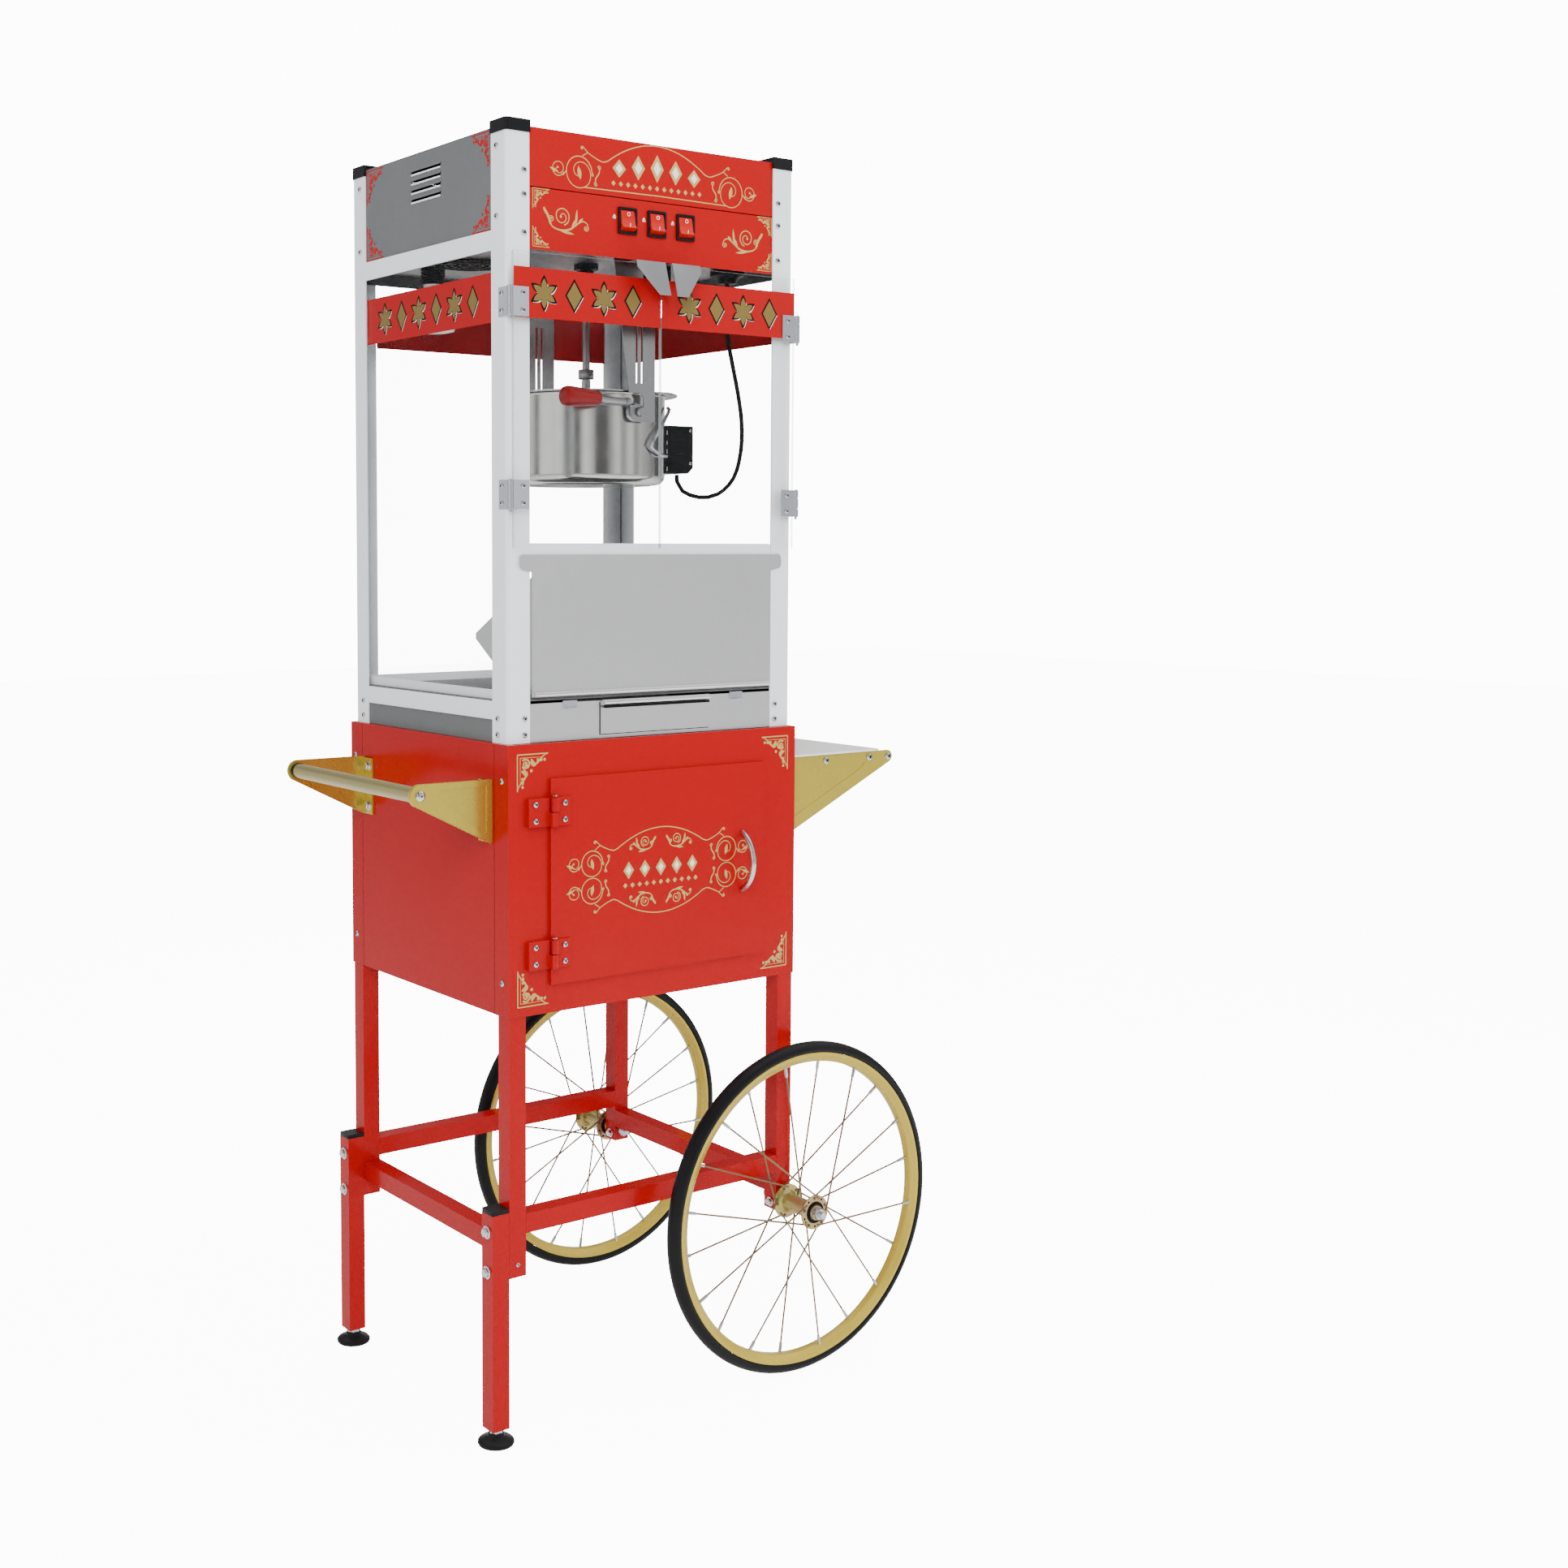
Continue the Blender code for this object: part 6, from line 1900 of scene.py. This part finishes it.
@dataclass
class Kettle:
    """Hanging kettle with its lids, drive, handle, terminal box, cord and the lamp beside it."""

    cord_points: tuple[Point3, ...] = (
        (0.1783, -0.1200, 1.4905), (0.1779, -0.1200, 1.4600), (0.1790, -0.1200, 1.4230), (0.1880, -0.1205, 1.3830),
        (0.1965, -0.1220, 1.3450), (0.2020, -0.1240, 1.3050), (0.2035, -0.1210, 1.2650), (0.1990, -0.1110, 1.2280),
        (0.1860, -0.0920, 1.2060), (0.1700, -0.0700, 1.2020), (0.1555, -0.0515, 1.2110), (0.1507, -0.0454, 1.2240),
        (0.1503, -0.0450, 1.2338),
    )
    cord_radius: float = 0.003
    cord_turn: tuple[Point3, Point3] = ((0.199, -0.12, 1.262), (0.149, -0.12, 1.232))

    def build(self) -> None:
        """Dress the kettle and add its fine pieces."""
        dress(Finish.STEEL, "front_hanger", "back_hanger", "lid_bar", "agitator", bevel=0.0003)
        dress(Finish.STEEL, "drive_rod")
        dress(Finish.KETTLE_STEEL, "kettle_lid_left", "kettle_lid_right", bevel=0.0004)
        self._pot()
        self._handle()
        self._terminal_box()
        self._drive()
        self._lamp()
        self._fan_guard()
        self._cord()

    @property
    def centre(self) -> Point2:
        """Middle of the kettle as x, y."""
        low, high = cart_box("drive_rod")
        return ((low.x + high.x) / 2, (low.y + high.y) / 2)

    def _pot(self) -> None:
        """Spun pot with a rolled rim, base seam, trunnions and side wire."""
        low, high = cart_box("kettle_pot")
        radius = (high.x - low.x) / 2
        spot = self.centre
        outer = [(0.0, low.z), (radius - 0.0175, low.z), (radius - 0.0160, low.z + 0.0010)]
        outer += arc((radius - 0.0120, low.z + 0.0130), 0.0120, -90, 0, 10)
        outer += [(radius, low.z + 0.0150), (radius, high.z - 0.0030), (radius + 0.0006, high.z - 0.0022),
                  (radius + 0.0008, high.z - 0.0008)]
        inner = [(radius, high.z), (radius - 0.0012, high.z - 0.0004)]
        inner += arc((radius - 0.012, low.z + 0.0143), 0.0108, 0, -90, 8) + [(0.0, low.z + 0.0035)]
        pot = Draft().use(Finish.KETTLE_STEEL)
        pot.turned("z", spot, outer + inner, 128)
        pot.use(Finish.STEEL)
        axis = (0.002, 1.309)
        for sign in (-1, 1):
            levels = [spot[1] + sign * reach for reach in (0.1064, 0.1085, 0.1160, 0.1166, 0.1235, 0.1250)]
            radii = [0.0130, 0.0100, 0.0100, 0.0062, 0.0062, 0.0050]
            profile = [(0.0, levels[0]), *zip(radii, levels), (0.0, levels[-1])]
            pot.turned("y", axis, profile, 32)
        wire = smooth_route([(0.0850, -0.1090, 1.3200), (0.0796, -0.1180, 1.3140), (0.0465, -0.1410, 1.2867),
                             (0.0291, -0.1470, 1.2654), (0.0515, -0.1380, 1.2554), (0.0760, -0.1180, 1.2545)], 0.004)
        pot.use(Finish.BRIGHT_ZINC)
        pot.tube(wire, 0.0024, 10)
        pot.place("kettle_pot_fine", "kettle", ["kettle_pot"], angle=32)

    def _handle(self) -> None:
        """Steel rod with a ferrule and the tapered red grip."""
        y = -0.1500
        handle = Draft().use(Finish.STEEL)
        handle.tube([(-0.0086, y, 1.3210), (-0.030, y, 1.3220), (-0.062, y, 1.3238)], 0.0045, 20)
        handle.tube([(-0.0100, y, 1.3211), (-0.0160, y, 1.3214)], 0.0056, 20)
        handle.use(Finish.RED_GRIP)
        grip = [(-0.0585, 0.0070), (-0.0592, 0.0084), (-0.064, 0.0092), (-0.076, 0.0102), (-0.090, 0.0113),
                (-0.103, 0.0121), (-0.109, 0.0120), (-0.1130, 0.0106), (-0.1150, 0.0080), (-0.1158, 0.0040)]
        handle.tube([(x, y, 1.3240 + (-0.0592 - x) * 0.020) for x, _ in grip], [r * 1.08 for _, r in grip], 28)
        handle.place("kettle_handle_fine", "kettle", ["kettle_handle"], angle=50)

    def _terminal_box(self) -> None:
        """Moulded box with ribs, four chrome tabs and two cover screws."""
        low, high = cart_box("terminal_box")
        box = Draft().use(Finish.BLACK_PLASTIC)
        outline = [(low.x, low.z), (high.x - 0.008, low.z), (high.x, low.z + 0.0075), (high.x, high.z),
                   (low.x, high.z)]
        box.plate("y", low.y + 0.0010, high.y, outline)
        box.plate("y", low.y, low.y + 0.0010, [(x * 0.99 + 0.0013, z * 0.99 + 1.2672 * 0.01) for x, z in outline])
        for i in range(7):
            z = low.z + 0.014 + i * 0.0062
            box.block((low.x + 0.006, high.x - 0.016), (low.y - 0.0005, low.y + 0.0004), (z, z + 0.0024))
        box.use(Finish.CHROME)
        for z in (high.z - 0.010, high.z - 0.024, high.z - 0.036, low.z + 0.006):
            box.block((low.x + 0.0045, low.x + 0.0062), (low.y - 0.0008, low.y + 0.0004), (z - 0.0030, z + 0.0030))
        for x, z in ((high.x - 0.0055, high.z - 0.006), (high.x - 0.0055, low.z + 0.014)):
            box.screw((x, low.y, z), (0, -1, 0), 0.0025)
        box.place("terminal_box_fine", "kettle", ["terminal_box"], bevel=0.0010)

    def _drive(self) -> None:
        """Boss at the ceiling and collar with its set screw on the drive rod."""
        spot = self.centre
        ceiling = cart_box("ceiling_plate")[0].z
        boss = Draft().use(Finish.BLACK_PLASTIC)
        rings = ((0.0056, GAP), (0.0165, GAP), (0.0165, 0.006), (0.0105, 0.0085), (0.0105, 0.0260), (0.0056, 0.0260))
        boss.turned("z", spot, [(radius, ceiling - drop) for radius, drop in rings], 36)
        boss.place("drive_boss", "cart")
        foot = cart_box("drive_rod")[0].z
        collar = Draft().use(Finish.STEEL)
        collar.turned("z", spot, [(0.0050, foot), (0.0098, foot), (0.0104, foot + 0.0008), (0.0104, foot + 0.0122),
                                  (0.0098, foot + 0.0130), (0.0050, foot + 0.0130)], 40)
        collar.screw((spot[0], spot[1] - 0.0103, foot + 0.0065), (0, -1, 0), 0.0026)
        collar.place("drive_collar", "drive_rod")

    def _lamp(self) -> None:
        """Heat lamp with its ribbed holder and frosted bulb, and the cord's ceiling socket."""
        low, high = cart_box("heat_lamp")
        spot = ((low.x + high.x) / 2, (low.y + high.y) / 2)
        lamp = Draft().use(Finish.BLACK_PLASTIC)
        holder = [(0.0, high.z), (0.0168, high.z)]
        for i in range(5):
            z = high.z - 0.002 - i * 0.004
            holder += [(0.0168, z), (0.0160, z - 0.0008), (0.0160, z - 0.0024), (0.0168, z - 0.0032)]
        holder += [(0.0165, high.z - 0.0217), (0.0, high.z - 0.0217)]
        lamp.turned("z", spot, holder, 48)
        lamp.use(Finish.LAMP_GLASS)
        bulb = [(0.0, 1.4900), (0.0130, 1.4900), (0.0130, 1.4760), (0.0165, 1.4660), (0.0225, 1.4560),
                (0.0285, 1.4440), (0.0308, 1.4370), (0.0310, 1.4320), (0.0285, 1.4270), (0.0200, 1.4250),
                (0.0, 1.4242)]
        lamp.turned("z", spot, bulb, 64)
        lamp.place("heat_lamp_fine", "cart", ["heat_lamp"], angle=50)
        s_low, s_high = cart_box("kettle_socket")
        middle = ((s_low.x + s_high.x) / 2, (s_low.y + s_high.y) / 2)
        socket = Draft().use(Finish.BLACK_PLASTIC)
        profile = [(0.0, s_high.z), (0.0230, s_high.z), (0.0235, s_high.z - 0.001), (0.0235, 1.5035),
                   (0.0225, 1.5015), (0.0160, 1.4990), (0.0150, 1.4975), (0.0120, s_low.z + 0.0006),
                   (0.0050, s_low.z), (0.0, s_low.z)]
        socket.turned("z", middle, profile, 48)
        socket.place("kettle_socket_fine", "cart", ["kettle_socket"])

    def _fan_guard(self) -> None:
        """Wire guard of the exhaust fan under the ceiling."""
        ceiling = cart_box("ceiling_plate")[0].z
        x, y = -0.140, 0.030
        guard = Draft().use(Finish.BLACK_PLASTIC)
        for ring in range(4):
            near = 0.014 + ring * 0.0105
            guard.turned("z", (x, y), rectangle(near, near + 0.0030, ceiling - 0.0040, ceiling - 0.0010), 48)
        for k in range(4):
            turn = math.pi * k / 4
            dx, dy = 0.046 * math.cos(turn), 0.046 * math.sin(turn)
            level = ceiling - 0.0030
            guard.tube([(x - dx, y - dy, level), (x + dx, y + dy, level)], 0.0012, 8)
        guard.place("fan_guard", "cart", bevel=0.0003)

    def _cord(self) -> None:
        """Flexible cord from the socket to the terminal box."""
        route = [point + CART_MIDDLE for point in smooth_route(self.cord_points, 0.0125)]
        curve = bpy.data.curves.new("kettle_cord_fine", "CURVE")
        curve.dimensions = "3D"
        curve.bevel_depth = self.cord_radius
        curve.bevel_resolution = 4
        curve.use_fill_caps = True
        line = curve.splines.new("POLY")
        line.points.add(len(route) - 1)
        for point, spot in zip(line.points, route):
            point.co = (*spot, 1.0)
        curve.materials.append(PAINTSHOP.material(Finish.RUBBER))
        swept = bpy.data.objects.new("kettle_cord_path", curve)
        mesh = bpy.data.meshes.new_from_object(swept)
        mesh.name = "kettle_cord_fine"
        bpy.data.objects.remove(swept)
        bpy.data.curves.remove(curve)
        cord = bpy.data.objects.new("kettle_cord_fine", mesh)
        bpy.context.scene.collection.objects.link(cord)
        mesh.shade_smooth()
        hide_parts("kettle_cord")
        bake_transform(cord)


# ---------------------------------------------------------------- setting

@dataclass
class Studio:
    """Camera, floor and soft lights.

    Attributes:
        target: Point the camera looks at, in cart coordinates.
        azimuth: Camera direction in degrees.
        elevation: Camera height angle in degrees.
        distance: Camera distance.
        lens: Focal length in millimetres.
        shift: Lens shift right and up.
    """

    target: Point3 = (0.0, 0.0, 0.949)
    azimuth: float = -34.568
    elevation: float = 3.913
    distance: float = 2.640
    lens: float = 43.70
    shift: Point2 = (0.1364, -0.0665)

    def build(self) -> None:
        """Add the camera, floor, sky and lamps."""
        self._camera()
        self._floor()
        self._sky()
        lamps = (("key", (-2.2, -2.6, 2.6), (1.6, 2.0), 120.0), ("fill", (2.6, -2.0, 1.8), (1.4, 2.2), 72.0),
                 ("top", (0.0, -0.4, 3.4), (2.4, 2.4), 55.0), ("rim", (1.2, 2.6, 2.2), (1.8, 2.0), 48.0))
        for name, spot, size, power in lamps:
            self._lamp(name, Vector(spot), size, power)

    def _camera(self) -> None:
        """Camera of the main view."""
        turn, rise = math.radians(self.azimuth), math.radians(self.elevation)
        back = Vector((math.sin(turn) * math.cos(rise), -math.cos(turn) * math.cos(rise), math.sin(rise)))
        data = bpy.data.cameras.new("camera")
        data.lens = self.lens
        data.sensor_width = 36.0
        data.shift_x, data.shift_y = self.shift
        data.clip_end = 50.0
        camera = bpy.data.objects.new("camera", data)
        camera.location = Vector(self.target) + CART_MIDDLE + back * self.distance
        camera.rotation_euler = (-back).to_track_quat("-Z", "Y").to_euler()
        bpy.context.scene.collection.objects.link(camera)
        bpy.context.scene.camera = camera

    @staticmethod
    def _floor() -> None:
        """Pale plain floor."""
        mesh = bmesh.new()
        bmesh.ops.create_grid(mesh, x_segments=4, y_segments=4, size=14.0)
        data = bpy.data.meshes.new("floor")
        mesh.to_mesh(data)
        mesh.free()
        material = bpy.data.materials.new("floor")
        material.use_nodes = True
        shader = material.node_tree.nodes["Principled BSDF"]
        shader.inputs["Base Color"].default_value = (0.93, 0.93, 0.93, 1.0)
        shader.inputs["Roughness"].default_value = 0.6
        graph = Graph(material.node_tree)
        seen = graph.node("ShaderNodeLightPath").outputs["Is Camera Ray"]
        shader.inputs["Emission Color"].default_value = (1.0, 1.0, 1.0, 1.0)
        material.node_tree.links.new(graph.math("MULTIPLY", seen, FLOOR_GLOW), shader.inputs["Emission Strength"])
        data.materials.append(material)
        floor = bpy.data.objects.new("floor", data)
        floor.location.z = -0.0002
        bpy.context.scene.collection.objects.link(floor)

    @staticmethod
    def _sky() -> None:
        """White backdrop to the eye; tall light and dark panels to the lit surfaces."""
        world = bpy.data.worlds.new("studio")
        world.use_nodes = True
        graph = Graph(world.node_tree)
        heading = graph.node("ShaderNodeTexCoord").outputs["Generated"]
        level = graph.node("ShaderNodeVectorMath", {0: heading, 1: (2.3, 2.3, 0.25)}, operation="MULTIPLY").outputs[0]
        noise = graph.node("ShaderNodeTexNoise", {"Vector": level, "Scale": 1.0, "Detail": 1.0}).outputs[0]
        bands = {0: noise, 1: 0.42, 2: 0.58, 3: 0.15, 4: 1.45}
        panels = graph.node("ShaderNodeMapRange", bands, clamp=True).outputs[0]
        seen = graph.node("ShaderNodeLightPath").outputs["Is Camera Ray"]
        strength = graph.node("ShaderNodeMix", {0: seen, 2: panels, 3: BACKDROP_GLOW}, data_type="FLOAT").outputs[0]
        background = world.node_tree.nodes["Background"]
        background.inputs["Color"].default_value = (1.0, 1.0, 1.0, 1.0)
        world.node_tree.links.new(strength, background.inputs["Strength"])
        bpy.context.scene.world = world

    @staticmethod
    def _lamp(name: str, spot: Vector, size: Point2, power: float) -> None:
        """Soft area lamp aimed at the machine.

        Args:
            name: Name of the lamp.
            spot: Its place.
            size: Width and height.
            power: Watts.
        """
        data = bpy.data.lights.new(name, "AREA")
        data.shape = "RECTANGLE"
        data.size, data.size_y = size
        data.energy = power
        lamp = bpy.data.objects.new(name, data)
        lamp.location = spot
        lamp.visible_glossy = False
        lamp.rotation_euler = (Vector((0.0, 0.0, 1.0)) - spot).to_track_quat("-Z", "Y").to_euler()
        bpy.context.scene.collection.objects.link(lamp)


def main() -> None:
    """Dress the whole object."""
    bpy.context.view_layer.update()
    Studio().build()
    builders = [CartFrame(), Cabinet(), SpokedWheel("front"), SpokedWheel("back"), Case(),
                GlassDoor(-1, (1.4308, 1.1965)), GlassDoor(1, (1.4250, 1.1915)), Kettle()]
    for builder in builders:
        LOG.info("--- %s", type(builder).__name__)
        builder.build()


if __name__ == "__main__":
    main()
